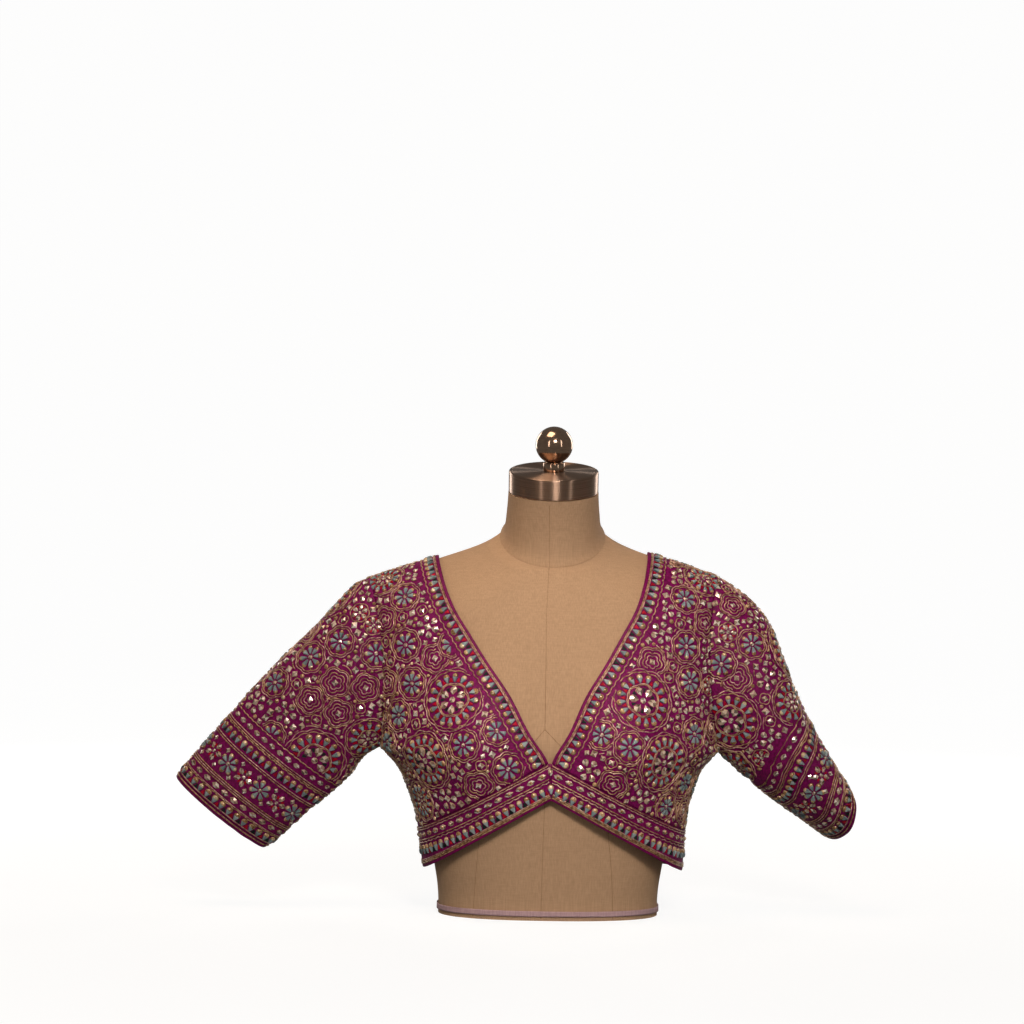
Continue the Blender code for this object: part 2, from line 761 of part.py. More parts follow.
def tilted(y, z, tilt):
    """The frame of a plane that leans forwards by tilt degrees about the line across."""
    return Matrix.Translation(Vector((0, y, z)) * MM) @ Matrix.Rotation(
        math.radians(tilt), 4, "X"
    )


def make_form_torso(materials, collection, cutters):
    """The torso closes up along its shoulder line, and the tilted plane of the neck seam cuts it."""
    rings = []
    for share in np.linspace(0, 1, FORM_LOWER_ROWS + 1)[:-1]:
        rings.append(form_ring(lambda x, s=share: s * (form_shoulder(x) - SHOULDER_ROUND)))
    for turn in np.linspace(np.pi / 2, 0, FORM_SHOULDER_ROWS + 1):
        drop = SHOULDER_ROUND * (1 - math.cos(turn))
        rings.append(form_ring(lambda x, d=drop: form_shoulder(x) - d))
    rings[-1][:, 1] = 0
    torso = loft("form_torso", rings, materials["linen"], collection)
    bpy.ops.mesh.primitive_cube_add(size=0.2)
    cutter = bpy.context.object
    cutter.name = "neck_seam_cutter"
    cutter.matrix_world = tilted(NECK_SEAM["y"], NECK_SEAM["z"], NECK_SEAM["tilt"]) @ (
        Matrix.Translation((0, 0, 0.1 - SEAM_GAP / 2 * MM))
    )
    cutter.hide_render = True
    cutter.display_type = "WIRE"
    for owner in list(cutter.users_collection):
        owner.objects.unlink(cutter)
    cutters.objects.link(cutter)
    cut = torso.modifiers.new("neck_seam", "BOOLEAN")
    cut.operation = "DIFFERENCE"
    cut.solver = "EXACT"
    cut.object = cutter


def make_form_neck(materials, collection):
    """Ellipses that turn from the neck seam's plane to the cap's plane."""
    turn = np.linspace(0, 2 * np.pi, FORM_SEGMENTS + 1)[:-1]
    rings = []
    for share, half_across, half_deep in NECK_RINGS:
        y = NECK_SEAM["y"] + (CAP["y"] - NECK_SEAM["y"]) * share**1.2
        z = NECK_SEAM["z"] + (CAP["z"] - NECK_SEAM["z"]) * share
        tilt = NECK_SEAM["tilt"] + (CAP["tilt"] - NECK_SEAM["tilt"]) * share
        end_gap = SEAM_GAP / 2 * (1 if share == 0 else -1 if share == 1 else 0)
        frame = tilted(y, z, tilt) @ Matrix.Translation((0, 0, end_gap * MM))
        flat = [
            Vector((half_across * math.sin(a), -half_deep * math.cos(a), 0)) * MM for a in turn
        ]
        rings.append([(frame @ p) / MM for p in flat])
    loft("form_neck", rings, materials["linen"], collection)


def make_cap(materials, collection):
    """The brushed metal disc on the neck: a cylinder with its rims eased."""
    bpy.ops.mesh.primitive_cylinder_add(
        vertices=56, radius=CAP["radius"] * MM, depth=(CAP["height"] - SEAM_GAP) * MM
    )
    cap = bpy.context.object
    cap.name = "neck_cap"
    cap.matrix_world = tilted(CAP["y"], CAP["z"], CAP["tilt"]) @ Matrix.Translation(
        (0, 0, (CAP["height"] + SEAM_GAP / 2) / 2 * MM)
    )
    rim = cap.modifiers.new("rim", "BEVEL")
    rim.width = CAP["bevel"] * MM
    rim.segments = 2
    rim.angle_limit = math.radians(60)
    finish_metal(cap, materials, collection)


def make_finial(materials, collection):
    """A turned stub, a groove and a ball: one profile, spun."""
    seat = SEAM_GAP / 2
    join = math.asin(GROOVE_RADIUS / BALL_RADIUS)
    arc = np.linspace(0, np.pi - join, 12)
    ball = [(BALL_RADIUS * math.sin(a), BALL_RISE + BALL_RADIUS * math.cos(a)) for a in arc]
    stub = [
        (GROOVE_RADIUS, STUB_HEIGHT),
        (STUB_RADIUS - 1, STUB_HEIGHT),
        (STUB_RADIUS, STUB_HEIGHT - 1),
        (STUB_RADIUS, seat),
        (0, seat),
    ]
    profile = [(0 if r < 1e-6 else r, h) for r, h in ball + stub]
    mesh = bpy.data.meshes.new("finial")
    mesh.from_pydata(
        [(r * MM, 0, h * MM) for r, h in profile],
        [(i, i + 1) for i in range(len(profile) - 1)],
        [],
    )
    finial = bpy.data.objects.new("finial", mesh)
    bpy.context.scene.collection.objects.link(finial)
    spin = finial.modifiers.new("spin", "SCREW")
    spin.steps = 26
    spin.render_steps = 26
    spin.use_merge_vertices = True
    spin.merge_threshold = 0.00005
    top = Matrix.Translation((0, 0, (CAP["height"]) * MM))
    finial.matrix_world = tilted(CAP["y"], CAP["z"], CAP["tilt"]) @ top
    finish_metal(finial, materials, collection)


def finish_metal(thing, materials, collection):
    thing.data.materials.append(materials["steel"])
    for owner in list(thing.users_collection):
        owner.objects.unlink(thing)
    collection.objects.link(thing)


def make_waist_tape(materials, collection):
    """A narrow tape round the form's waist."""
    heights = (TAPE["low"], (TAPE["low"] + TAPE["high"]) / 2, TAPE["high"])
    rings = [
        form_ring(lambda x, h=height: h + 0 * x, outset=TAPE["off"] + TAPE["thickness"])
        for height in heights
    ]
    points = np.array(rings)
    centre = np.array([0, 0, 1]) * points[..., 2:3]
    normals = unit((points - centre) / np.array([122.0**2, 87.0**2, 1]))
    cloth_wall(
        "waist_tape",
        points,
        normals,
        TAPE["thickness"],
        materials["tape"],
        collection,
        closed=True,
    )


def build():
    clear_scene()
    materials = make_materials()
    collection = bpy.data.collections.new("choli_blouse_on_dress_form")
    cutters = bpy.data.collections.new("cutters")
    for made in (collection, cutters):
        bpy.context.scene.collection.children.link(made)
    make_form_torso(materials, collection, cutters)
    make_form_neck(materials, collection)
    make_cap(materials, collection)
    make_finial(materials, collection)
    make_waist_tape(materials, collection)
    make_panels(materials, collection)
    make_band(materials, collection)
    make_neck_binding(materials, collection)
    make_sleeves(materials, collection)


build()
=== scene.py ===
import math

import bmesh
import bpy
import numpy as np
from mathutils import Matrix, Vector


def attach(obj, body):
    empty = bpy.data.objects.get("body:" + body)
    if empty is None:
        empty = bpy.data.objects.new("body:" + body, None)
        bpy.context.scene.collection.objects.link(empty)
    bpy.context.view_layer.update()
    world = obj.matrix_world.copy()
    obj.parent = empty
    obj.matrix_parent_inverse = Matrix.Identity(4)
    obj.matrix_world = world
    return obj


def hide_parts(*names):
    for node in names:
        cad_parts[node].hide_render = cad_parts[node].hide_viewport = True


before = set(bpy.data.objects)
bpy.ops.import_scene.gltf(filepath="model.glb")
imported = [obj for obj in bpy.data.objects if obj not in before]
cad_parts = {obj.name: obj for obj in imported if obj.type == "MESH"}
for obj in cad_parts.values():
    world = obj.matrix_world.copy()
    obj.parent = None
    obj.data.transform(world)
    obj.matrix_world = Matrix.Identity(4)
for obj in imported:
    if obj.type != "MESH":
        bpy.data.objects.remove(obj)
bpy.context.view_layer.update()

# A choli blouse on a half dress form. Every length in this script is in millimetres, in the frame's axes:
# the front faces -Y, +X is the wearer's left, and z 0 is the form's base. makeMesh turns them to metres.
mm = 0.001
front, back = -1, 1
wearersRight, wearersLeft = -1, 1
sideNames = {wearersRight: "right", wearersLeft: "left"}
faceNames = {front: "front", back: "back"}


# The camera stands where the photographer's did
view = {"place": (-45.9, -4000.0, 447.6), "roll": 0.8, "lens": 125.54, "sensor": 36.0}

camera = bpy.data.objects.new("camera", bpy.data.cameras.new("camera"))
camera.data.lens = view["lens"]
camera.data.sensor_width = view["sensor"]
camera.data.clip_end = 60
camera.matrix_world = (
    Matrix.Translation(Vector(view["place"]) * mm)
    @ Matrix.Rotation(math.pi / 2, 4, "X")
    @ Matrix.Rotation(math.radians(view["roll"]), 4, "Z")
)
bpy.context.scene.collection.objects.link(camera)
bpy.context.scene.camera = camera
bpy.context.scene.view_settings.view_transform = "Standard"


def linear(colour):
    # sRGB hex to linear: each channel c becomes ((c + 0.055) / 1.055) ^ 2.4, or c / 12.92 when dark
    channels = [int(colour[i : i + 2], 16) / 255 for i in (1, 3, 5)]
    return tuple(c / 12.92 if c < 0.04045 else ((c + 0.055) / 1.055) ** 2.4 for c in channels) + (1.0,)


def unit(vectors):
    return vectors / np.maximum(np.linalg.norm(vectors, axis=-1, keepdims=True), 1e-12)


def dot(a, b):
    return np.sum(a * b, axis=-1, keepdims=True)


def smoothCurve(rows, where):
    # A cubic between the table's rows, with each row's slope taken from its two neighbours
    table = np.array(rows, float)
    knots, values = table[:, 0], table[:, 1:]
    slopes = np.gradient(values, knots, axis=0)
    where = np.clip(np.asarray(where, float), knots[0], knots[-1])
    low = np.clip(np.searchsorted(knots, where, side="right") - 1, 0, len(knots) - 2)
    span = (knots[low + 1] - knots[low])[..., None]
    t = (where - knots[low])[..., None] / span
    made = (
        (1 + 2 * t) * (1 - t) ** 2 * values[low]
        + t * (1 - t) ** 2 * span * slopes[low]
        + t * t * (3 - 2 * t) * values[low + 1]
        + t * t * (t - 1) * span * slopes[low + 1]
    )
    return made[..., 0] if values.shape[1] == 1 else made


def makeMesh(name, points, faceSets, material, smooth=True, paint=None, uv=None):
    # points are (n, 3) in mm. faceSets are arrays of faces, each with one count of corners.
    # smooth is one value or one a face, paint is (corners, 4) or (points, 4), and uv is (points, 2) in mm.
    mesh = bpy.data.meshes.new(name)
    corners = np.concatenate([f.ravel() for f in faceSets]).astype(np.int32)
    sizes = np.concatenate([np.full(len(f), f.shape[1]) for f in faceSets]).astype(np.int32)
    mesh.vertices.add(len(points))
    mesh.vertices.foreach_set("co", (points * mm).astype(np.float32).ravel())
    mesh.loops.add(len(corners))
    mesh.loops.foreach_set("vertex_index", corners)
    mesh.polygons.add(len(sizes))
    mesh.polygons.foreach_set("loop_start", (np.cumsum(sizes) - sizes).astype(np.int32))
    mesh.update(calc_edges=True)
    mesh.polygons.foreach_set("use_smooth", np.broadcast_to(smooth, len(sizes)).astype(bool))
    if paint is not None:
        domain = "POINT" if len(paint) == len(points) else "CORNER"
        layer = mesh.color_attributes.new("paint", "FLOAT_COLOR", domain)
        layer.data.foreach_set("color", paint.astype(np.float32).ravel())
    if uv is not None:
        layer = mesh.uv_layers.new(name="cloth")
        layer.data.foreach_set("uv", (uv[corners] / 100).astype(np.float32).ravel())
    mesh.materials.append(material)
    piece = bpy.data.objects.new(name, mesh)
    bpy.context.scene.collection.objects.link(piece)
    return piece


def gridFaces(rows, columns, closed=False):
    # Quads of a grid whose points are counted row by row; closed joins each row's end to its start
    r, c = np.meshgrid(np.arange(rows - 1), np.arange(columns if closed else columns - 1), indexing="ij")
    n = (c + 1) % columns
    a, b = r * columns + c, r * columns + n
    return np.stack([a, b, b + columns, a + columns], axis=-1).reshape(-1, 4)


def outward(faces, points, normals):
    # Turns the whole grid's faces round if they point against the given normals
    p = points.reshape(-1, 3)
    quad = p[faces]
    made = np.cross(quad[:, 2] - quad[:, 0], quad[:, 3] - quad[:, 1])
    against = np.sum(made * normals.reshape(-1, 3)[faces[:, 0]]) < 0
    return faces[:, ::-1] if against else faces


def addNode(tree, kind, inputs=None, **settings):
    node = tree.nodes.new(kind)
    for name, value in settings.items():
        setattr(node, name, value)
    for name, value in (inputs or {}).items():
        if isinstance(value, bpy.types.NodeSocket):
            tree.links.new(value, node.inputs[name])
        else:
            node.inputs[name].default_value = value
    return node


def newMaterial(name, **values):
    material = bpy.data.materials.new(name)
    material.use_nodes = True
    tree = material.node_tree
    shader = tree.nodes["Principled BSDF"]
    for socket, value in values.items():
        shader.inputs[socket.replace("_", " ")].default_value = value
    return material, tree, shader


def blend(tree, share, a, b):
    # A colour between a and b by share: the mix node has its colours on sockets 6 and 7
    return addNode(
        tree, "ShaderNodeMix", {0: share, 6: a, 7: b}, data_type="RGBA", clamp_factor=True
    ).outputs[2]


def spread(tree, value, low, high, start=0.0, end=1.0):
    # Maps a value from low..high to start..end
    return addNode(
        tree, "ShaderNodeMapRange", {"Value": value, 1: low, 2: high, 3: start, 4: end}
    ).outputs["Result"]


def wovenSilk(name, dark, light, thread, roughness, sheen):
    # Plain-woven dupion silk: crossing threads with slubs. It has a soft sheen, and its colour shifts a little with
    # the threads: it is painted darker where they dip, as painted shade in the gaps of the weave. A real thread is 0.2
    # mm, too fine to show, so threads are drawn at the size given.
    material, tree, shader = newMaterial(
        name, Roughness=roughness, Sheen_Weight=sheen, Sheen_Roughness=0.4, Specular_IOR_Level=0.18
    )
    shader.inputs["Sheen Tint"].default_value = linear("#D88AC8")
    place = addNode(tree, "ShaderNodeUVMap", uv_map="cloth").outputs["UV"]
    perUnit = 100 / thread / (2 * math.pi)  # the cloth map counts 100 mm as 1, and a wave is 2 pi long
    warp = addNode(
        tree,
        "ShaderNodeTexWave",
        {"Vector": place, "Scale": perUnit, "Distortion": 1.2, "Detail": 1.0},
        bands_direction="X",
    )
    weft = addNode(
        tree,
        "ShaderNodeTexWave",
        {"Vector": place, "Scale": perUnit, "Distortion": 1.2, "Detail": 1.0},
        bands_direction="Y",
    )
    threads = addNode(
        tree, "ShaderNodeMath", {0: warp.outputs["Fac"], 1: weft.outputs["Fac"]}, operation="MULTIPLY"
    ).outputs[0]
    slubs = addNode(tree, "ShaderNodeTexNoise", {"Vector": place, "Scale": 30.0, "Detail": 5.0}).outputs["Fac"]
    shade = blend(tree, spread(tree, slubs, 0.35, 0.7), linear(dark), linear(light))
    # Painted shade: darker where the threads dip
    shade = blend(tree, spread(tree, threads, 0.0, 1.0, 0.35, 0.0), shade, linear(dark))
    tree.links.new(shade, shader.inputs["Base Color"])
    bump = addNode(tree, "ShaderNodeBump", {"Height": threads, "Strength": 0.35, "Distance": 0.0002})
    tree.links.new(bump.outputs["Normal"], shader.inputs["Normal"])
    return material


def paintedMaterial(name, grain, depth, **values):
    # Takes its colour from the piece's own paint, with a fine grain of the given size in mm
    material, tree, shader = newMaterial(name, **values)
    paint = addNode(tree, "ShaderNodeAttribute", attribute_name="paint").outputs["Color"]
    place = addNode(tree, "ShaderNodeTexCoord").outputs["Object"]
    noise = addNode(
        tree, "ShaderNodeTexNoise", {"Vector": place, "Scale": 1000 / grain, "Detail": 3.0}
    ).outputs["Fac"]
    darker = addNode(
        tree,
        "ShaderNodeMix",
        {0: 1.0, 6: paint, 7: blend(tree, noise, (0.45, 0.45, 0.45, 1), (1.25, 1.25, 1.25, 1))},
        data_type="RGBA",
        blend_type="MULTIPLY",
    ).outputs[2]
    tree.links.new(darker, shader.inputs["Base Color"])
    bump = addNode(tree, "ShaderNodeBump", {"Height": noise, "Strength": 0.5, "Distance": depth * mm})
    tree.links.new(bump.outputs["Normal"], shader.inputs["Normal"])
    return material


def wovenLinen(name, dark, light, roughness):
    # Plain-woven linen pasted over a padded shell: matt, with a fine upright grain of uneven threads. Real
    # threads are 0.4 mm wide, drawn 1.1 mm wide and some 25 mm long between slubs so that they show.
    material, tree, shader = newMaterial(name, Roughness=roughness, Specular_IOR_Level=0.25)
    place = addNode(tree, "ShaderNodeTexCoord").outputs["Object"]
    upright = addNode(tree, "ShaderNodeMapping", {"Vector": place, "Scale": (900, 900, 38)}).outputs[0]
    level = addNode(tree, "ShaderNodeMapping", {"Vector": place, "Scale": (90, 90, 900)}).outputs[0]
    warp = addNode(tree, "ShaderNodeTexNoise", {"Vector": upright, "Scale": 1.0, "Detail": 2.0}).outputs["Fac"]
    weft = addNode(tree, "ShaderNodeTexNoise", {"Vector": level, "Scale": 1.0, "Detail": 2.0}).outputs["Fac"]
    both = addNode(
        tree, "ShaderNodeMath", {0: weft, 1: 0.55, 2: warp}, operation="MULTIPLY_ADD"
    ).outputs[0]
    cloudy = addNode(tree, "ShaderNodeTexNoise", {"Vector": place, "Scale": 14.0, "Detail": 3.0}).outputs["Fac"]
    shade = blend(tree, spread(tree, both, 0.55, 1.0), linear(dark), linear(light))
    soft = blend(tree, spread(tree, cloudy, 0.3, 0.7, 0.0, 0.22), shade, linear(dark))
    tree.links.new(soft, shader.inputs["Base Color"])
    bump = addNode(tree, "ShaderNodeBump", {"Height": both, "Strength": 0.45, "Distance": 0.0003})
    tree.links.new(bump.outputs["Normal"], shader.inputs["Normal"])
    return material


def brushedSteel(name, dark, light, roughness, along, brushing):
    # Turned stainless steel: fine lines round the part, which spread a highlight across them. Real lines are
    # 0.05 mm apart, drawn 0.5 mm apart so that they show, and the map runs round the part in its first axis.
    material, tree, shader = newMaterial(
        name, Metallic=1.0, Roughness=roughness, Anisotropic=brushing, Anisotropic_Rotation=0.25
    )
    place = addNode(tree, "ShaderNodeUVMap", uv_map="cloth").outputs["UV"]
    lines = addNode(tree, "ShaderNodeMapping", {"Vector": place, "Scale": along}).outputs[0]
    grain = addNode(tree, "ShaderNodeTexNoise", {"Vector": lines, "Scale": 1.0, "Detail": 3.0}).outputs["Fac"]
    tree.links.new(
        blend(tree, spread(tree, grain, 0.3, 0.7), linear(dark), linear(light)), shader.inputs["Base Color"]
    )
    tree.links.new(
        spread(tree, grain, 0.3, 0.7, roughness * 0.85, roughness * 1.15), shader.inputs["Roughness"]
    )
    bump = addNode(tree, "ShaderNodeBump", {"Height": grain, "Strength": 0.12, "Distance": 0.0001})
    tree.links.new(bump.outputs["Normal"], shader.inputs["Normal"])
    return material


silk = wovenSilk("plumDupionSilk", "#56003C", "#98046A", 0.9, 0.6, 0.02)
satin = wovenSilk("magentaSatinBinding", "#58003C", "#920064", 0.7, 0.5, 0.02)

# Zari: silk thread wrapped in drawn gilt wire. It is metallic but broken up by its twist.
zari = paintedMaterial("giltZariCord", 0.8, 0.25, Metallic=0.3, Roughness=0.38)
# Sheesha: small cut mirrors of silvered glass. Each facet is painted a light or dark tone, a painted reflection of a
# different part of the room, with a little real gloss on top
sheesha = paintedMaterial("silveredGlassMirror", 6.0, 0.02, Metallic=0.2, Roughness=0.18, Specular_IOR_Level=0.8)
# Floss: untwisted rayon thread laid side by side in satin stitch, with a soft gloss along the threads
floss = paintedMaterial("rayonSatinStitch", 0.7, 0.2, Roughness=0.5, Specular_IOR_Level=0.2)
linen = wovenLinen("pastedLinen", "#AC8C6E", "#BD9B7C", 0.85)
seamThread = wovenLinen("linenSeam", "#86664A", "#9C7A5C", 0.9)
tapeCloth = wovenLinen("twillTape", "#A88A90", "#BEA0A6", 0.8)
# The steels' brown tint stands in for the warm, dim room that the real steel reflects: a painted reflection colour,
# under the lamps' real highlights
capSteel = brushedSteel("brushedStainlessCap", "#907666", "#BC9E8A", 0.36, (0.8, 200, 1), 1.0)
ballSteel = brushedSteel("polishedStainlessBall", "#A88C7A", "#C2A68E", 0.14, (6, 60, 1), 0.0)
print("materials made")


# The blouse's surface, the same as its solids
bodice = {
    "shoulderX": 78.0,
    "shoulderZ": 411.0 + 3.65,
    "shoulderFall": 0.33,
    "shoulderRound": 75.0,
    "power": 2.4,
    "hemZ": 50.0,
    "slideAtHem": 5.0,
    "slideFall": 0.045,
    "apexX": 85.0,
    "apexZ": 185.0,
    "apexRise": 22.0,
    "apexAcross": 46.0,
    "apexUp": 75.0,
    "apexDown": 64.0,
    "underarmZ": 184.0,
    "armholeX": {"top": 194.0, "middle": 181.0, "under": 188.0},
    "armholeDepth": {front: 47.0, back: 50.0},
    "bandTop": {"centre": 175.0, "side": 95.0},
    "hem": {"centre": 133.5, "side": 50.0},
    "backNeckBottom": 318.0,
    "backNeckPower": 2.3,
    "bindingWidth": 5.5,
    "bindingAcross": 6.0,
}
sideTable = (
    (40, 144), (50, 145), (70, 147), (90, 149), (115, 152), (135, 158),
    (150, 163.5), (160, 168), (172, 177), (180, 184), (184, 188),
)
depthTable = {
    front: (
        (40, 104), (90, 108), (133, 112), (174, 116), (200, 116), (240, 110),
        (280, 100.5), (320, 90), (360, 77), (390, 67), (415, 58),
    ),
    back: (
        (40, 103), (90, 104), (120, 105), (200, 109.5), (260, 112), (320, 108),
        (360, 98), (400, 82), (415, 74),
    ),
}
neckTable = (
    (170, 0), (177, 2.6), (205, 20), (249, 42), (284, 65), (312, 82), (342, 99.5),
    (367, 109), (396, 116), (412, 118.5),
)
# Drag folds: facing, side, start across and up, end across and up, rise, half width
foldTable = (
    (front, wearersRight, 172, 196, 118, 158, 2.6, 9),
    (front, wearersRight, 166, 176, 128, 118, -2.2, 8),
    (front, wearersLeft, 176, 200, 120, 168, 2.4, 9),
    (front, wearersLeft, 164, 172, 130, 112, -2.2, 8),
    (front, wearersLeft, 172, 262, 138, 226, -2.0, 9),
    (front, wearersRight, 172, 270, 140, 232, -1.8, 9),
    (back, wearersRight, 168, 200, 96, 164, 2.6, 11),
    (back, wearersLeft, 170, 204, 104, 176, 2.4, 11),
    (back, wearersLeft, 150, 150, 84, 118, -2.0, 10),
    (back, wearersRight, 152, 154, 88, 112, -2.0, 10),
)


def slide(z):
    # The blouse lies a little to the wearer's left, most at the hem
    return bodice["slideAtHem"] - bodice["slideFall"] * (z - bodice["hemZ"])


def shoulderHeight(x):
    return bodice["shoulderZ"] - bodice["shoulderFall"] * (np.abs(x) - bodice["shoulderX"])


def rounding(below):
    # A quarter ellipse from 0 on the shoulder line to 1 where the shoulder has rounded over
    return np.sqrt(1 - (1 - np.clip(below / bodice["shoulderRound"], 0, 1)) ** 2)


def acrossSection(share, power=bodice["power"]):
    # A superellipse: its depth at a share of the half width
    return (1 - np.clip(share, 0, 1) ** power) ** (1 / power)


def bust(x, z, down):
    # A bell round the apex, wider above than below
    spreadZ = np.where(z > bodice["apexZ"], bodice["apexUp"], down)
    away = ((np.abs(x) - bodice["apexX"]) / bodice["apexAcross"]) ** 2
    return bodice["apexRise"] * np.exp(-away - ((z - bodice["apexZ"]) / spreadZ) ** 2)


def armholeSpan(side):
    top = 375.0
    for _ in range(20):
        top = shoulderHeight(side * bodice["armholeX"]["top"] + slide(top))
    return (top + bodice["underarmZ"]) / 2, (top - bodice["underarmZ"]) / 2


def armholeX(z, side):
    middle, half = armholeSpan(side)
    share = np.clip((z - middle) / half, -1, 1)
    wide = bodice["armholeX"]
    end = np.where(share > 0, wide["top"], wide["under"])
    return side * (wide["middle"] + (end - wide["middle"]) * share**2) + slide(z)


def halfWidth(z, side, facing):
    # The side seam's half width under the arm; above, what makes the section pass the armhole seam
    z = np.asarray(z, float)
    low = smoothCurve(sideTable, z) + side * slide(z)
    middle, half = armholeSpan(side)
    share = np.clip((z - middle) / half, -1, 1)
    seam = armholeX(z, side)
    depth = smoothCurve(depthTable[facing], z) * rounding(shoulderHeight(seam) - z)
    wanted = bodice["armholeDepth"][facing] * np.sqrt(1 - share**2)
    ratio = np.clip(wanted / np.maximum(depth, 1e-6), 0, 0.72)
    high = side * seam / (1 - ratio ** bodice["power"]) ** (1 / bodice["power"])
    return np.where(z < bodice["underarmZ"], low, high)


def foldRise(x, z, side, facing):
    # Each fold is a bell across its line that fades in and out along it
    total = np.zeros(np.broadcast(x, z).shape)
    for faces, ofSide, x0, z0, x1, z1, rise, width in foldTable:
        if (faces, ofSide) != (facing, side):
            continue
        line = np.array([x1 - x0, z1 - z0], float)
        length = np.linalg.norm(line)
        line = line / length
        along = ((side * x - x0) * line[0] + (z - z0) * line[1]) / length
        apart = -(side * x - x0) * line[1] + (z - z0) * line[0]
        fade = np.clip(np.sin(np.pi * np.clip(along, 0, 1)), 0, 1)
        total = total + rise * fade * np.exp(-((apart / width) ** 2))
    return total


def blouseDepth(x, z, side, facing):
    # The section's depth, with the bust and folds, rounded over at the shoulder
    x, z = np.broadcast_arrays(np.asarray(x, float), np.asarray(z, float))
    share = np.abs(x) / halfWidth(z, side, facing)
    depth = smoothCurve(depthTable[facing], z) * acrossSection(share)
    extra = foldRise(x, z, side, facing)
    if facing == front:
        extra = extra + bust(x, z, bodice["apexDown"])
    depth = depth + extra * (1 - np.clip(share, 0, 1) ** 6)
    return depth * rounding(shoulderHeight(x) - z)


def blousePoints(x, z, side, facing):
    depth = blouseDepth(x, z, side, facing)
    return np.stack([x + 0 * depth, facing * depth, z + 0 * depth], axis=-1)


def blouseNormals(x, z, side, facing):
    # From how the square of the depth changes across and up
    step = 0.25
    depth = blouseDepth(x, z, side, facing)

    def squared(dx, dz):
        return blouseDepth(x + dx, z + dz, side, facing) ** 2

    slopeX = (squared(step, 0) - squared(-step, 0)) / (2 * step)
    slopeZ = (squared(0, step) - squared(0, -step)) / (2 * step)
    return unit(np.stack([-slopeX, 2 * facing * depth, -slopeZ], axis=-1))


def evenly(x, z, side, facing, count):
    points = blousePoints(x, z, side, facing)
    walked = np.concatenate([[0], np.cumsum(np.linalg.norm(np.diff(points, axis=0), axis=1))])
    stops = np.linspace(0, walked[-1], count + 1)
    return np.interp(stops, walked, x), np.interp(stops, walked, z)


def neckEnd(side, outset):
    top = 400.0
    for _ in range(20):
        half = smoothCurve(neckTable, top) + outset
        top = float(shoulderHeight(side * half + slide(top)))
    return half, top


def bandSeamHeight(x, side):
    # The front band's top seam is straight, from the centre front down to the side seam
    z0, z1 = bodice["bandTop"]["centre"], bodice["bandTop"]["side"]
    x0 = slide(z0)
    x1 = side * halfWidth(z1, side, front)
    return z0 + (z1 - z0) * (x - x0) / (x1 - x0)


def frontNeckline(side, outset, count):
    _, top = neckEnd(side, outset)
    low = bodice["bandTop"]["centre"]
    for _ in range(40):
        low = float(bandSeamHeight(side * (smoothCurve(neckTable, low) + outset) + slide(low), side))
    z = top - (top - low) * (1 - np.linspace(0, 1, 600)) ** 2
    x = side * (smoothCurve(neckTable, z) + outset) + slide(z)
    return evenly(x, z, side, front, count)


def backNeckline(side, outset, count):
    # A quarter superellipse from the centre back to the shoulder line
    width, top = neckEnd(side, outset)
    angle = np.linspace(0, np.pi / 2, 600)
    bottom = bodice["backNeckBottom"] - outset
    z = top - (top - bottom) * np.cos(angle) ** (2 / bodice["backNeckPower"])
    x = side * width * np.sin(angle) ** (2 / bodice["backNeckPower"]) + slide(z)
    return evenly(x, z, side, back, count)


# Rows and columns of the panels' grids, several to each of the solid's
panelRows = {"side": 30, "armhole": 84, "columns": 66, "centreBack": 60, "shape": 2.4}


def panelPlaces(side, facing):
    # A row runs from the panel's inner edge to its outer seam, and all rows end on the shoulder line
    low = np.linspace(bodice["bandTop"]["side"], bodice["underarmZ"], panelRows["side"] + 1)[:-1]
    middle, half = armholeSpan(side)
    high = middle + half * np.cos(np.pi + facing * np.linspace(0, np.pi, panelRows["armhole"] + 1))
    outerX = np.concatenate([side * halfWidth(low, side, facing), armholeX(high, side)])
    outerZ = np.concatenate([low, high])
    rows = panelRows["side"] + panelRows["armhole"]
    if facing == front:
        innerX, innerZ = frontNeckline(side, bodice["bindingAcross"], rows)
    else:
        neckX, neckZ = backNeckline(side, bodice["bindingAcross"], rows - panelRows["centreBack"])
        centreZ = np.linspace(bodice["bandTop"]["side"], neckZ[0], panelRows["centreBack"] + 1)[:-1]
        innerX = np.concatenate([slide(centreZ), neckX])
        innerZ = np.concatenate([centreZ, neckZ])
    u = np.linspace(0, 1, panelRows["columns"] + 1)
    roundSide = np.clip(1.3 - np.arange(rows + 1) / rows, 0.3, 1)[:, None]
    share = roundSide * np.sin(np.pi / 2 * u) + (1 - roundSide) * u
    x = innerX[:, None] + (outerX - innerX)[:, None] * share
    z = innerZ[:, None] + (outerZ - innerZ)[:, None] * share
    return x, z


def bandPlaces(side, facing, lowShare, highShare, rows):
    # Under the panel's first row: a strip between two shares of the band's height
    topX, topZ = (place[0] for place in panelPlaces(side, facing))
    if facing == front:
        centre = np.linspace(0, 1, 5)[:-1]
        x0, z0 = slide(bodice["bandTop"]["centre"]), bodice["bandTop"]["centre"]
        topX = np.concatenate([x0 + (topX[0] - x0) * centre, topX])
        topZ = np.concatenate([z0 + (topZ[0] - z0) * centre, topZ])
    edgeX = side * halfWidth(topZ, side, facing)
    across = (topX - slide(topZ)) / (edgeX - slide(topZ))
    middle = "centre" if facing == front else "side"
    hemZ = bodice["hem"][middle] + (bodice["hem"]["side"] - bodice["hem"][middle]) * across
    height = np.linspace(lowShare, highShare, rows + 1)[:, None]
    z = hemZ + (topZ - hemZ) * height
    x = slide(z) + (side * halfWidth(z, side, facing) - slide(z)) * across
    return x, z


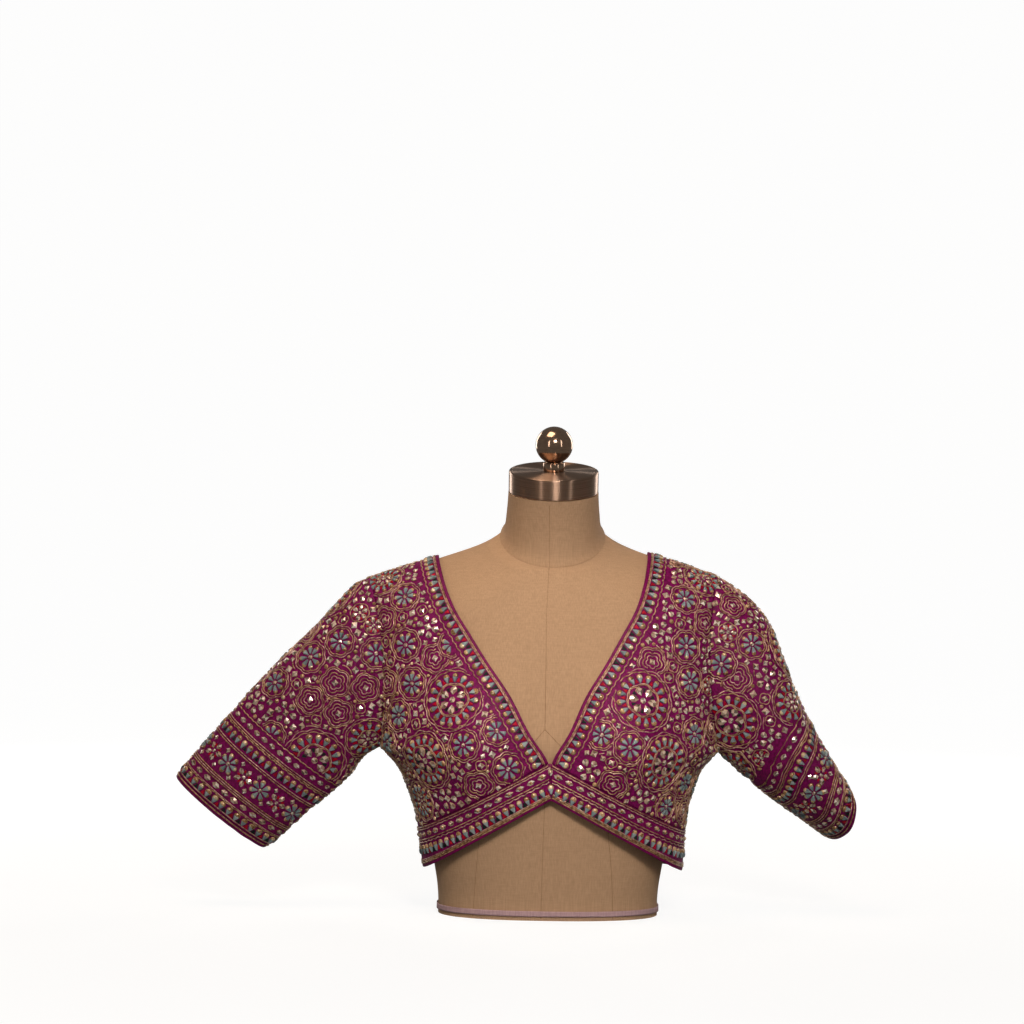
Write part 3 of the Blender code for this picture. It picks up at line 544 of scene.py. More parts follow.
# The sleeves' surface, from the armhole to the cuff: top edge across and up, under edge across and up, how far back the middle
# lies, half depth, and how far the near side leans out along the sleeve
sleeveTable = {
    wearersRight: (
        (-204, 374, -189, 184, 0, 47, -9), (-223, 362, -200, 178, 1, 47, -3),
        (-246, 337, -212, 168, 2, 45, 3), (-268, 313, -222, 153, 3, 42, 8),
        (-291, 291, -238, 137, 5, 39, 10), (-315, 266, -253, 124, 7, 36, 11),
        (-338, 241, -268, 111, 9, 34, 11), (-360, 216, -281, 99, 11, 33, 10),
        (-380, 193, -293, 88, 13, 32, 8), (-399, 171, -304, 78, 15, 31, 6),
        (-416, 150, -314, 70, 17, 30, 4),
    ),
    wearersLeft: (
        (184, 380, 187, 184, 0, 47, -9), (205, 366, 193, 179, 1, 50, -4),
        (227, 349, 203, 170, 3, 52, 0), (244, 327, 214, 160, 6, 54, 4),
        (256, 299, 226, 150, 9, 55, 8), (266, 271, 238, 140, 13, 55, 12),
        (277, 243, 251, 130, 17, 55, 14), (289, 217, 265, 120, 21, 55, 16),
        (303, 193, 280, 110, 25, 55, 17), (316, 171, 296, 99, 29, 55, 18),
        (327, 152, 314, 87, 33, 54, 18),
    ),
}
# Folds: side, place along (0 to 1), degrees from the top edge, turn along the sleeve, rise, half length along,
# half width in degrees
sleeveFolds = (
    (wearersRight, 0.20, 122, 40, -4.0, 0.20, 13),
    (wearersRight, 0.30, 150, 30, 3.0, 0.16, 12),
    (wearersRight, 0.55, 64, -40, -2.0, 0.22, 14),
    (wearersRight, 0.34, 236, -36, -3.5, 0.22, 14),
    (wearersLeft, 0.16, 118, 44, -4.0, 0.17, 13),
    (wearersLeft, 0.30, 142, 30, 3.0, 0.16, 12),
    (wearersLeft, 0.62, 40, 40, -3.0, 0.26, 13),
    (wearersLeft, 0.30, 240, -40, -3.5, 0.22, 14),
)
sleeveGrid = {"rings": 104, "round": 150, "blend": 0.34, "foldsFrom": 0.08}


def armholeRing(angle, side):
    # By angle: top, front, underarm, back
    middle, half = armholeSpan(side)
    z = middle + half * np.cos(angle)
    x = armholeX(z, side)
    atFront = np.clip(0.5 + np.sin(angle) * 1e6, 0, 1)[..., None]
    return blousePoints(x, z, side, front) * atFront + blousePoints(x, z, side, back) * (1 - atFront)


def sleeveRing(along, angle, side):
    # An ellipse between the top and under edges, leaned along the sleeve
    rows = sleeveTable[side]
    table = [(k / (len(rows) - 1), *row) for k, row in enumerate(rows)]
    topX, topZ, underX, underZ, behind, depth, lean = np.moveaxis(smoothCurve(table, along), -1, 0)
    halfX, halfZ = (topX - underX) / 2, (topZ - underZ) / 2
    out = unit(np.stack([side * halfZ, 0 * halfZ, -side * halfX], axis=-1))
    level, near = np.cos(angle), np.sin(angle)
    points = np.stack(
        [(topX + underX) / 2 + halfX * level, behind - depth * near, (topZ + underZ) / 2 + halfZ * level],
        axis=-1,
    )
    return points + out * (lean * near)[..., None]


def sleeveSwell(along, angle, side):
    total = np.zeros(np.broadcast(along, angle).shape)
    degrees = np.degrees(angle) % 360
    for ofSide, place, at, turn, rise, length, width in sleeveFolds:
        if ofSide == side:
            away = (along - place) / length
            off = (degrees - at - turn * away + 180) % 360 - 180
            total = total + rise * np.exp(-(away**2) - (off / width) ** 2)
    return total * np.clip(along / sleeveGrid["foldsFrom"], 0, 1)


def sleevePoints(along, angle, side):
    # Rings that ease into the armhole seam's own line near the shoulder
    along, angle = np.broadcast_arrays(np.asarray(along, float), np.asarray(angle, float))
    ease = np.clip(1 - along / sleeveGrid["blend"], 0, 1)[..., None] ** 2
    points = sleeveRing(along, angle, side)
    points = points + (armholeRing(angle, side) - sleeveRing(0 * along, angle, side)) * ease
    centre = (sleeveRing(along, 0 * angle, side) + sleeveRing(along, 0 * angle + np.pi, side)) / 2
    return points + unit(points - centre) * sleeveSwell(along, angle, side)[..., None]


# A patch is a grid of a cloth's outer face, with what is needed to lay embroidery on it
pucker ={"rise": 0.45, "waves": ((0.31, 0.17, 0.4), (-0.13, 0.29, 1.9), (0.23, -0.26, 3.1))}


def puckerRise(points):
    # Stitching draws cloth up a little: three crossed waves of some 20 mm
    total = 0
    for across, up, start in pucker["waves"]:
        total = total + np.sin(across * (points[..., 0] + 0.6 * points[..., 1]) + up * points[..., 2] + start)
    return pucker["rise"] * total / 3


def edgePoints(patch, edge):
    grid = patch["points"]
    return {"low": grid[0], "high": grid[-1], "inner": grid[:, 0], "outer": grid[:, -1]}[edge]


def makePatch(name, points, normals, closed=False, puckered=True):
    # Adds the steps along and across the grid, smoothed normals, and each point's distance to each edge
    if puckered:
        points = points + normals * puckerRise(points)[..., None]
    down = np.gradient(points, axis=0)
    if closed:
        across = (np.roll(points, -1, 1) - np.roll(points, 1, 1)) / 2
    else:
        across = np.gradient(points, axis=1)
    made = unit(np.cross(across, down))
    made = made * np.sign(np.sum(made * normals))
    patch = {"name": name, "points": points, "down": down, "across": across, "normals": made, "closed": closed}
    flat = points.reshape(-1, 3)
    for edge in ("low", "high") if closed else ("low", "high", "inner", "outer"):
        line = edgePoints(patch, edge)
        nearest = np.full(len(flat), 1e9)
        for part in np.array_split(line, max(1, len(line) // 30)):
            apart = np.linalg.norm(flat[:, None, :] - part[None], axis=-1).min(axis=1)
            nearest = np.minimum(nearest, apart)
        patch[edge] = nearest.reshape(points.shape[:2] + (1,))
    return patch


def lookUp(patch, v, u, *fields):
    # Between the four grid points around (v, u), each counted by its nearness
    rows, columns = patch["points"].shape[:2]
    v = np.clip(v, 0, rows - 1)
    v0 = np.minimum(v.astype(int), rows - 2)
    if patch["closed"]:
        u = u % columns
        u0 = u.astype(int) % columns
        u1 = (u0 + 1) % columns
    else:
        u = np.clip(u, 0, columns - 1)
        u0 = np.minimum(u.astype(int), columns - 2)
        u1 = u0 + 1
    fv, fu = (v - v0)[..., None], (u - u0)[..., None]
    found = []
    for field in fields:
        table = patch[field]
        low = table[v0, u0] * (1 - fu) + table[v0, u1] * fu
        high = table[v0 + 1, u0] * (1 - fu) + table[v0 + 1, u1] * fu
        found.append(low * (1 - fv) + high * fv)
    return found[0] if len(found) == 1 else found


def gridStep(patch, v, u, move):
    # The change of (v, u) that moves by the given vector, from the two tangents there
    down, across = lookUp(patch, v, u, "down", "across")
    a, b, c = (np.sum(p * q, axis=-1) for p, q in ((down, down), (down, across), (across, across)))
    p, q = np.sum(move * down, axis=-1), np.sum(move * across, axis=-1)
    area = np.maximum(a * c - b * b, 1e-6)
    return (p * c - q * b) / area, (q * a - p * b) / area


def walk(patch, v, u, heading, distance, steps=6):
    # A straight walk on the surface: short steps, each tried half way first, with the heading kept tangent
    v, u = np.broadcast_arrays(np.asarray(v, float), np.asarray(u, float))
    part = (np.asarray(distance, float) / steps)[..., None]
    for _ in range(steps):
        dv, du = gridStep(patch, v, u, heading * part / 2)
        dv, du = gridStep(patch, v + dv, u + du, heading * part)
        v, u = v + dv, u + du
        normal = unit(lookUp(patch, v, u, "normals"))
        heading = unit(heading - normal * dot(heading, normal))
    return v, u, heading


def roomOn(patch, v, u, limits):
    # How far a place is inside its limits: the least of its distances to the edges, less each edge's margin
    rows, columns = patch["points"].shape[:2]
    room = np.full(np.shape(v), 1e9)
    for edge, margin in limits.items():
        room = np.minimum(room, lookUp(patch, v, u, edge)[..., 0] - margin)
    beyond = (v < 0) | (v > rows - 1)
    if not patch["closed"]:
        beyond = beyond | (u < 0) | (u > columns - 1)
    return np.where(beyond, -1e3, room)


def panelPatch(side, facing):
    x, z = panelPlaces(side, facing)
    name = f"{faceNames[facing]}_{sideNames[side]}"
    return makePatch(name, blousePoints(x, z, side, facing), blouseNormals(x, z, side, facing))


def bandPatch(side, facing):
    share = bodice["bindingWidth"] / (bodice["bandTop"]["side"] - bodice["hem"]["side"])
    x, z = bandPlaces(side, facing, share, 1, 16)
    name = f"band_{faceNames[facing]}_{sideNames[side]}"
    return makePatch(name, blousePoints(x, z, side, facing), blouseNormals(x, z, side, facing))


def sleevePatch(side):
    angle = np.linspace(0, 2 * np.pi, sleeveGrid["round"] + 1)[:-1][None, :]
    along = np.linspace(0, 1, sleeveGrid["rings"] + 1)[:, None]
    points = sleevePoints(along, angle, side)
    down = np.gradient(points, axis=0)
    across = (np.roll(points, -1, 1) - np.roll(points, 1, 1)) / 2
    return makePatch(f"sleeve_{sideNames[side]}", points, side * unit(np.cross(across, down)), closed=True)


cloth = {"thickness": 1.5, "bindingThickness": 2.1, "seamGap": 0.17, "tuck": 0.8, "edgeDrop": 0.35, "crown": 0.55}
# The edge of each kind of cloth that a binding is folded over
boundEdges = {"front": "inner", "band_front": "low", "band_back": "low", "sleeve": "high"}


def insetEdges(points, tucked, closed):
    # Moves a grid's edges towards the next points, so that a seam has its gap. The tucked edge goes outwards
    # instead, into the fold of its binding.
    moved = points.copy()
    for edge, beside, ends in ((0, 1, ("low", "inner")), (-1, -2, ("high", "outer"))):
        amounts = [-cloth["tuck"] if end == tucked else cloth["seamGap"] for end in ends]
        moved[edge] += amounts[0] * unit(points[beside] - points[edge])
        if not closed:
            moved[:, edge] += amounts[1] * unit(points[:, beside] - points[:, edge])
    return moved


def clothMap(points):
    # Distances along each row and up each column, in mm
    steps = np.linalg.norm(np.diff(points, axis=1), axis=-1)
    across = np.concatenate([np.zeros((len(points), 1)), np.cumsum(steps, axis=1)], axis=1)
    rises = np.linalg.norm(np.diff(points, axis=0), axis=-1).mean(axis=1)
    up = np.concatenate([[0], np.cumsum(rises)])[:, None] + 0 * across
    return np.stack([across - across.mean(axis=1, keepdims=True), up], axis=-1)


def clothPiece(name, points, normals, thickness, material, node, closed=False, drop=True, tucked=None):
    # The outer face as a grid; Solidify gives it its wall on the inner side
    grid = insetEdges(points, tucked, closed)
    if drop:
        for edge in (0, -1):
            grid[edge] -= cloth["edgeDrop"] * normals[edge]
            if not closed:
                grid[:, edge] -= cloth["edgeDrop"] * normals[:, edge]
    rows, columns = grid.shape[:2]
    uv = clothMap(grid).reshape(-1, 2)
    faces = outward(gridFaces(rows, columns, closed), grid, normals)
    piece = makeMesh(name, grid.reshape(-1, 3), [faces], material, uv=uv)
    wall = piece.modifiers.new("wall", "SOLIDIFY")
    wall.thickness = thickness * mm
    wall.offset = -1
    wall.use_quality_normals = True
    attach(piece, "root")
    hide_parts(node)
    return piece


patches = {}
for side in (wearersRight, wearersLeft):
    for facing in (front, back):
        for patch in (panelPatch(side, facing), bandPatch(side, facing)):
            patches[patch["name"]] = patch
    patch = sleevePatch(side)
    patches[patch["name"]] = patch

for name, patch in patches.items():
    clothPiece(
        f"cloth_{name}",
        patch["points"],
        patch["normals"],
        cloth["thickness"],
        silk,
        name,
        patch["closed"],
        tucked=boundEdges.get(name.rpartition("_")[0]),
    )


def crowned(points, normals):
    # Rows across a folded binding: raised in the middle as 1 - t squared, and rolled down at both edges
    t = np.linspace(-1, 1, len(points))[:, None, None]
    return points + cloth["crown"] * (1 - t**2 - 0.25) * normals


def neckStrip(line, side, facing, count, rows=6):
    points, normals = [], []
    for outset in np.linspace(0, bodice["bindingAcross"], rows + 1):
        x, z = line(side, outset, count)
        points.append(blousePoints(x, z, side, facing))
        normals.append(blouseNormals(x, z, side, facing))
    return np.array(points), np.array(normals)


def joinedStrip(frontStrip, backStrip):
    return [np.concatenate([a, b[:, -2::-1]], axis=1) for a, b in zip(frontStrip, backStrip)]


bindings = {}


def bindingPiece(name, points, normals, closed=False):
    # A sleeve's cuff is closed, and starts from the sleeve's edge, which has its pucker already
    patch = makePatch(name, crowned(points, normals), normals, closed, puckered=not closed)
    piece = clothPiece(
        f"cloth_{name}",
        patch["points"],
        normals,
        cloth["bindingThickness"],
        satin,
        name,
        closed,
        drop=False,
    )
    bindings[name] = piece, patch


for side in (wearersRight, wearersLeft):
    rows = panelRows["side"] + panelRows["armhole"]
    points, normals = joinedStrip(
        neckStrip(frontNeckline, side, front, rows),
        neckStrip(backNeckline, side, back, rows - panelRows["centreBack"]),
    )
    bindingPiece(f"neck_binding_{sideNames[side]}", points, normals)
    share = bodice["bindingWidth"] / (bodice["bandTop"]["side"] - bodice["hem"]["side"])
    strips = []
    for facing in (front, back):
        x, z = bandPlaces(side, facing, 0, share, 6)
        strips.append((blousePoints(x, z, side, facing), blouseNormals(x, z, side, facing)))
    points, normals = joinedStrip(*strips)
    bindingPiece(f"hem_binding_{sideNames[side]}", points, normals)
    patch = patches[f"sleeve_{sideNames[side]}"]
    run = unit(patch["points"][-1] - patch["points"][-2])
    widths = np.linspace(0, 1, 7)[:, None, None] * bodice["bindingWidth"]
    cuff = patch["points"][-1] + widths * run
    bindingPiece(
        f"cuff_binding_{sideNames[side]}", cuff, np.broadcast_to(patch["normals"][-1], cuff.shape), True
    )
print("bindings folded")


# The embroidery. Each colour's tones: a facet or a length of thread takes one of them
tones = {
    # The mirrors' light tones are painted reflections, the last a near-white painted glint
    "mirror": ("#E0C4AA", "#F0DCCA", "#CCB09A", "#FFF8EC"),
    # The mirrors' darker painted reflections, down to near black
    "mirrorPaintedDarkReflection": ("#947666", "#6A5044", "#A88C7C", "#382A24"),
    # The caps' own tan tones, and a near-white painted highlight that some facets take
    "cap": ("#B88E60", "#7E5C34", "#DCB682", "#9A7244", "#FBE6C0"),
    # Gold and pink zari tones: the thread's own colour, with light and dark tones that stand partly for painted glints
    # of a cord's twist
    "gold": ("#B68C62", "#DEB68C", "#845E3E", "#C69E74"),
    "pink": ("#CA9A86", "#E8C0AE", "#9C7062", "#D6AA98"),
    "blue": ("#8A9DA2", "#A6B6B8", "#72868C", "#98A9AC"),
    "red": ("#B00024", "#C20028", "#8C0018", "#C80A2C"),
    "green": ("#0C1E1C", "#142C28", "#081614", "#18302A"),
}
toneTable = {name: np.array([linear(c) for c in made]) for name, made in tones.items()}
toneNames = list(toneTable)

# Outlines in units of half the length and width, counted anticlockwise, with x away from the motif's middle
eighth = np.arange(8) * np.pi / 4 + np.pi / 8
outlines = {
    "petal": [(-1, 0), (-0.3, -0.75), (0.45, -0.98), (1, -0.4), (1, 0.4), (0.45, 0.98), (-0.3, 0.75)],
    "cap": [(-1, -0.95), (0.1, -1), (0.9, -0.5), (0.9, 0.5), (0.1, 1), (-1, 0.95)],
    "wedge": [(-1, -0.22), (0.7, -0.95), (1, -0.7), (1, 0.7), (0.7, 0.95), (-1, 0.22)],
    "triangle": [(-1, -1), (1, -0.25), (1, 0.25), (-1, 1)],
    "lens": [(-1, 0), (-0.42, -0.85), (0.42, -0.85), (1, 0), (0.42, 0.85), (-0.42, 0.85)],
    "diamond": [(-1, 0), (0, -1), (1, 0), (0, 1)],
    "round": np.stack([np.cos(eighth), np.sin(eighth)], axis=-1),
}
# How each colour's pieces are shaped: the shoulder's share of the outline and of the height, how far they
# lean, and how much each facet's tone is its own. Mirrors are low pyramids, caps domes, and floss is padded.
stitched = {"top": 0.74, "rim": 0.78, "lean": 0.04, "facets": 0.3}
cuts = {
    "mirror": {"top": 0.9, "rim": 0.42, "lean": 0.12, "facets": 0.85},
    "cap": {"top": 0.68, "rim": 0.74, "lean": 0.07, "facets": 0.35},
    "blue": stitched, "red": stitched, "green": stitched,
}
sunk = 0.35


def ringOf(shape, count, radius, length, width, height, colour, turn=0.0, spin=0.0):
    # count small pieces round a motif's middle. length and width are halves, and spin turns each one.
    angle = 2 * np.pi * (np.arange(count) + turn) / count
    return {
        "shape": shape, "radius": radius, "angle": angle, "length": length, "width": width,
        "height": height, "colour": colour, "spin": spin,
    }


def lobed(radius, swell, lobes, colour, width=1.25, turn=0.0):
    # A closed line at radius + swell |sin(lobes a / 2)|: rounded lobes that meet in points
    count = max(10, int(2 * np.pi * radius / 1.9))
    if lobes:
        count = max(count, lobes * 4) // lobes * lobes
    angle = np.linspace(0, 2 * np.pi, count + 1)[:-1]
    away = radius + swell * np.abs(np.sin(lobes * angle / 2))
    return {"radius": away, "angle": angle + turn, "colour": colour, "width": width}


motifs = {
    "medallion": {
        "size": 37.5,
        "parts": [
            ringOf("round", 1, 0, 3.8, 3.8, 1.4, "mirror"),
            ringOf("petal", 6, 10.6, 5.6, 4.7, 1.8, "mirror"),
            ringOf("triangle", 6, 12.0, 2.9, 2.4, 0.8, "green", 0.5, np.pi),
            ringOf("round", 16, 27.2, 3.9, 4.0, 1.9, "cap"),
            ringOf("wedge", 16, 23.6, 3.9, 3.5, 2.1, "blue"),
            ringOf("triangle", 16, 22.8, 2.9, 2.5, 1.0, "red", 0.5),
        ],
        "lines": [
            lobed(15.8, 2.6, 6, "gold"), lobed(18.1, 1.4, 6, "pink"), lobed(31.9, 1.3, 16, "gold"),
            lobed(34.4, 2.0, 11, "pink", turn=0.2),
        ],
    },
    "wheel": {
        "size": 28.4,
        "parts": [
            ringOf("round", 1, 0, 2.9, 2.9, 1.3, "mirror"),
            ringOf("petal", 7, 7.6, 4.0, 3.2, 1.6, "mirror"),
            ringOf("round", 12, 20.2, 3.5, 3.5, 1.7, "cap"),
            ringOf("wedge", 12, 17.0, 3.9, 3.5, 2.0, "blue"),
            ringOf("triangle", 12, 16.2, 2.8, 2.5, 0.9, "red", 0.5),
        ],
        "lines": [
            lobed(11.4, 1.6, 7, "gold"), lobed(24.3, 1.3, 12, "gold"), lobed(26.5, 1.4, 9, "pink"),
        ],
    },
    "flower": {
        "size": 20.6,
        "parts": [
            ringOf("round", 1, 0, 2.8, 2.8, 1.6, "mirror"),
            ringOf("round", 8, 11.7, 3.4, 3.4, 1.7, "cap"),
            ringOf("wedge", 8, 8.0, 4.2, 3.2, 2.0, "blue"),
        ],
        "lines": [lobed(15.8, 1.6, 8, "gold"), lobed(18.4, 1.8, 8, "pink")],
    },
    "rosette": {
        "size": 17.8,
        "parts": [ringOf("diamond", 1, 0, 4.6, 4.2, 1.8, "mirror")],
        "lines": [
            lobed(5.8, 2.0, 5, "pink"), lobed(9.0, 2.7, 5, "gold"), lobed(12.9, 2.8, 5, "pink"),
            lobed(15.2, 2.6, 5, "gold"),
        ],
    },
    "bloom": {
        "size": 11.4,
        "parts": [
            ringOf("round", 1, 0, 2.2, 2.2, 1.2, "mirror"),
            ringOf("petal", 6, 5.9, 3.6, 2.8, 1.6, "mirror"),
            ringOf("triangle", 6, 7.2, 1.8, 1.6, 0.8, "red", 0.5, np.pi),
        ],
        "lines": [lobed(10.2, 1.2, 6, "gold")],
    },
    "eye": {
        "size": 6.9,
        "parts": [ringOf("diamond", 1, 0, 4.3, 3.8, 1.7, "mirror")],
        "lines": [lobed(5.4, 1.2, 4, "gold")],
    },
    "cluster": {
        "size": 13.4,
        "parts": [
            ringOf("diamond", 1, 0, 4.6, 4.3, 1.8, "mirror"),
            ringOf("petal", 6, 8.9, 4.2, 3.9, 1.8, "mirror"),
        ],
        "lines": [],
    },
    "spark": {"size": 4.5, "parts": [ringOf("diamond", 1, 0, 4.9, 4.4, 1.8, "mirror")], "lines": []},
    "drop": {"size": 4.5, "parts": [ringOf("lens", 1, 0, 5.2, 3.7, 1.7, "mirror")], "lines": []},
    "bead": {"size": 2.9, "parts": [ringOf("round", 1, 0, 2.9, 2.9, 1.5, "cap")], "lines": []},
    "bandFlower": {
        "size": 12.5,
        "parts": [
            ringOf("round", 1, 0, 2.4, 2.4, 1.4, "mirror"),
            ringOf("round", 7, 9.6, 3.4, 3.4, 1.7, "cap"),
            ringOf("wedge", 7, 6.6, 3.8, 3.2, 2.0, "blue"),
        ],
        "lines": [],
    },
    "bandCross": {
        "size": 10.5,
        "parts": [
            ringOf("lens", 5, 7.4, 4.5, 3.2, 1.6, "mirror"),
            ringOf("triangle", 5, 7.0, 2.2, 1.9, 0.9, "red", 0.5),
            ringOf("round", 1, 0, 2.3, 2.3, 1.1, "mirror"),
        ],
        "lines": [],
    },
}


def newBench(patch, seed):
    # What is worked on one patch: small pieces and cords, gathered before they become meshes
    return {"patch": patch, "gems": [], "cords": [], "placed": [], "random": np.random.default_rng(seed)}


def addGems(bench, shape, v, u, heading, spin, length, width, height, colour, keep):
    patch = bench["patch"]
    if not np.any(keep):
        return
    v, u, heading = v[keep], u[keep], heading[keep]
    spin = np.broadcast_to(spin, keep.shape)[keep][:, None]
    point, normal = lookUp(patch, v, u, "points", "normals")
    normal = unit(normal)
    heading = unit(heading - normal * dot(heading, normal))
    beside = np.cross(normal, heading)
    ex = np.cos(spin) * heading + np.sin(spin) * beside
    ey = np.cross(normal, ex)
    sizes = np.broadcast_to(np.array([length, width, height], float), (len(v), 3))
    bench["gems"].append((shape, colour, point, ex, ey, normal, sizes))


def addCord(bench, v, u, colour, width, keep, loop):
    # Keeps the runs of a line that are inside its limits, each as its own cord
    count = len(v)
    if loop and np.all(keep):
        runs = [(np.arange(count), True)]
    else:
        if loop:
            start = int(np.argmin(keep))
            order = (np.arange(count) + start) % count
        else:
            order = np.arange(count)
        kept = keep[order]
        edges = np.flatnonzero(np.diff(np.concatenate([[0], kept.astype(int), [0]])))
        runs = [(order[a:b], False) for a, b in zip(edges[::2], edges[1::2]) if b - a >= 3]
    for run, closed in runs:
        bench["cords"].append((v[run], u[run], colour, width, closed))


def clearOfOthers(bench, points, own):
    # True where a point is outside every motif that was placed before its own
    clear = np.ones(points.shape[:-1], bool)
    for number, (centre, reach) in enumerate(bench["placed"]):
        apart = np.linalg.norm(points - centre, axis=-1)
        clear &= (apart > reach) | (own <= number)
    return clear


def addHalos(bench, limits, least=14.0, outset=2.0):
    # Loose gold lines in the gaps: each goes round a large motif and stops where another motif begins
    patch = bench["patch"]
    for number, (centre, reach) in enumerate(bench["placed"]):
        if reach < least:
            continue
        apart = np.linalg.norm(patch["points"] - centre, axis=-1)
        row, column = np.unravel_index(np.argmin(apart), apart.shape)
        line = lobed(reach + outset, 1.8, max(6, int(reach / 3.4)), "gold", turn=bench["random"].uniform(0, 6))
        place = [np.full(len(line["angle"]), float(n)) for n in (row, column)]
        normal, across = (unit(a) for a in lookUp(patch, *place, "normals", "across"))
        level = unit(across - normal * dot(across, normal))
        turned = line["angle"][:, None]
        heading = np.cos(turned) * level + np.sin(turned) * np.cross(normal, level)
        v, u, _ = walk(patch, *place, heading, line["radius"])
        points = lookUp(patch, v, u, "points")
        keep = roomOn(patch, v, u, limits) > 0.7
        for other, (middle, far) in enumerate(bench["placed"]):
            if other != number:
                keep &= np.linalg.norm(points - middle, axis=-1) > far + 0.9
        addCord(bench, v, u, "gold" if number % 3 else "pink", 1.25, keep, True)


def addMotifs(bench, kind, v, u, turns, scales, limits):
    # Walks from each motif's middle to each of its pieces and line points, in one go for all motifs of a kind
    if len(v) == 0:
        return
    patch, motif = bench["patch"], motifs[kind]
    v, u = np.asarray(v, float), np.asarray(u, float)
    turns, scales = np.asarray(turns, float)[:, None], np.asarray(scales, float)[:, None]
    point, normal, across = lookUp(patch, v, u, "points", "normals", "across")
    normal = unit(normal)
    level = unit(across - normal * dot(across, normal))
    upright = np.cross(normal, level)
    first = len(bench["placed"])
    own = (first + np.arange(len(v)))[:, None]
    for place, scale in zip(point, scales[:, 0]):
        bench["placed"].append((place, motif["size"] * scale - 0.6))

    def go(radius, angle):
        turned = (angle[None, :] + turns)[..., None]
        heading = np.cos(turned) * level[:, None] + np.sin(turned) * upright[:, None]
        shape = heading.shape[:2]
        distance = np.broadcast_to(radius, angle.shape)[None, :] * scales
        start = [np.broadcast_to(a[:, None], shape) for a in (v, u)]
        return walk(patch, *start, heading, distance)

    for part in motif["parts"]:
        toV, toU, heading = go(part["radius"], part["angle"])
        size = np.maximum(part["length"], part["width"]) * scales
        keep = roomOn(patch, toV, toU, limits) > 0.6 * size
        keep &= clearOfOthers(bench, lookUp(patch, toV, toU, "points"), own)
        scale = np.broadcast_to(scales, keep.shape)[keep].mean() if np.any(keep) else 1
        addGems(
            bench, part["shape"], toV.ravel(), toU.ravel(), heading.reshape(-1, 3), part["spin"],
            part["length"] * scale, part["width"] * scale, part["height"], part["colour"], keep.ravel(),
        )
    for line in motif["lines"]:
        toV, toU, _ = go(line["radius"], line["angle"])
        keep = roomOn(patch, toV, toU, limits) > 0.7
        keep &= clearOfOthers(bench, lookUp(patch, toV, toU, "points"), own)
        for number in range(len(v)):
            addCord(bench, toV[number], toU[number], line["colour"], line["width"], keep[number], True)


def fill(bench, limits, steps, cutAllowed=0.45):
    # Packs motifs from large to small. Each goes where it fits most closely among those already there.
    patch, random = bench["patch"], bench["random"]
    rows, columns = patch["points"].shape[:2]
    gridV, gridU = (a.ravel().astype(float) for a in np.meshgrid(np.arange(rows), np.arange(columns), indexing="ij"))
    points = patch["points"].reshape(-1, 3)
    room = roomOn(patch, gridV, gridU, limits)
    clear = np.full(len(points), 1e9)
    for centre, reach in bench["placed"]:
        clear = np.minimum(clear, np.linalg.norm(points - centre, axis=1) - reach)
    for kind, scale, most in steps:
        size = motifs[kind]["size"] * scale
        cut = cutAllowed * size if size > 9 else 1.2
        chosen = []
        while len(chosen) < most:
            fits = (clear >= size) & (room + cut >= size)
            if not np.any(fits):
                break
            tight = np.where(fits, np.minimum(clear, 60) + random.uniform(0, 1.5, len(points)), 1e9)
            best = int(np.argmin(tight))
            chosen.append(best)
            clear = np.minimum(clear, np.linalg.norm(points - points[best], axis=1) - size)
        chosen = np.array(chosen, int)
        turns = random.uniform(0, 2 * np.pi, len(chosen))
        addMotifs(bench, kind, gridV[chosen], gridU[chosen], turns, np.full(len(chosen), scale), limits)


def edgeStops(patch, edge, spacing, span=None, start=None):
    # Evenly spaced places along an edge, with the heading that leads into the cloth from each. With a start,
    # they are at that distance from the edge's first end, and then exactly one spacing apart.
    rows, columns = patch["points"].shape[:2]
    closed = patch["closed"]
    if edge in ("low", "high"):
        u = np.arange(columns + 1 if closed else columns).astype(float)
        v = np.full(len(u), 0.0 if edge == "low" else rows - 1.0)
    else:
        v = np.arange(rows).astype(float)
        u = np.full(len(v), 0.0 if edge == "inner" else columns - 1.0)
    if span is not None:
        v, u = v[span[0] : span[1]], u[span[0] : span[1]]
    points = lookUp(patch, v, u, "points")
    walked = np.concatenate([[0], np.cumsum(np.linalg.norm(np.diff(points, axis=0), axis=1))])
    count = max(2, int(round(walked[-1] / spacing)))
    stops = (np.arange(count) + (0 if closed else 0.5)) * walked[-1] / count
    if start is not None:
        stops = np.arange(start, walked[-1], spacing)
    v, u = np.interp(stops, walked, v), np.interp(stops, walked, u)
    normal, down, across = lookUp(patch, v, u, "normals", "down", "across")
    normal = unit(normal)
    if edge in ("low", "high"):
        along, into = unit(across), down * (1 if edge == "low" else -1)
    else:
        along, into = unit(down), across * (1 if edge == "inner" else -1)
    heading = unit(np.cross(normal, along))
    heading = heading * np.sign(dot(heading, into))
    return v, u, heading, stops


def rowLine(bench, edge, distance, colour, width=1.25, wave=0.0, pitch=10.0, limits=None, span=None):
    # A cord at a distance from an edge; with a wave it is scalloped, as |sin| of the way along
    patch = bench["patch"]
    v, u, heading, stops = edgeStops(patch, edge, 1.9, span)
    if wave:
        total = stops[-1] + stops[1] - stops[0]
        pitch = total / max(1, round(total / pitch))
    away = distance + wave * np.abs(np.sin(np.pi * stops / pitch))
    v, u, _ = walk(patch, v, u, heading, away)
    keep = roomOn(patch, v, u, limits or {}) > 0.6
    addCord(bench, v, u, colour, width, keep, patch["closed"])


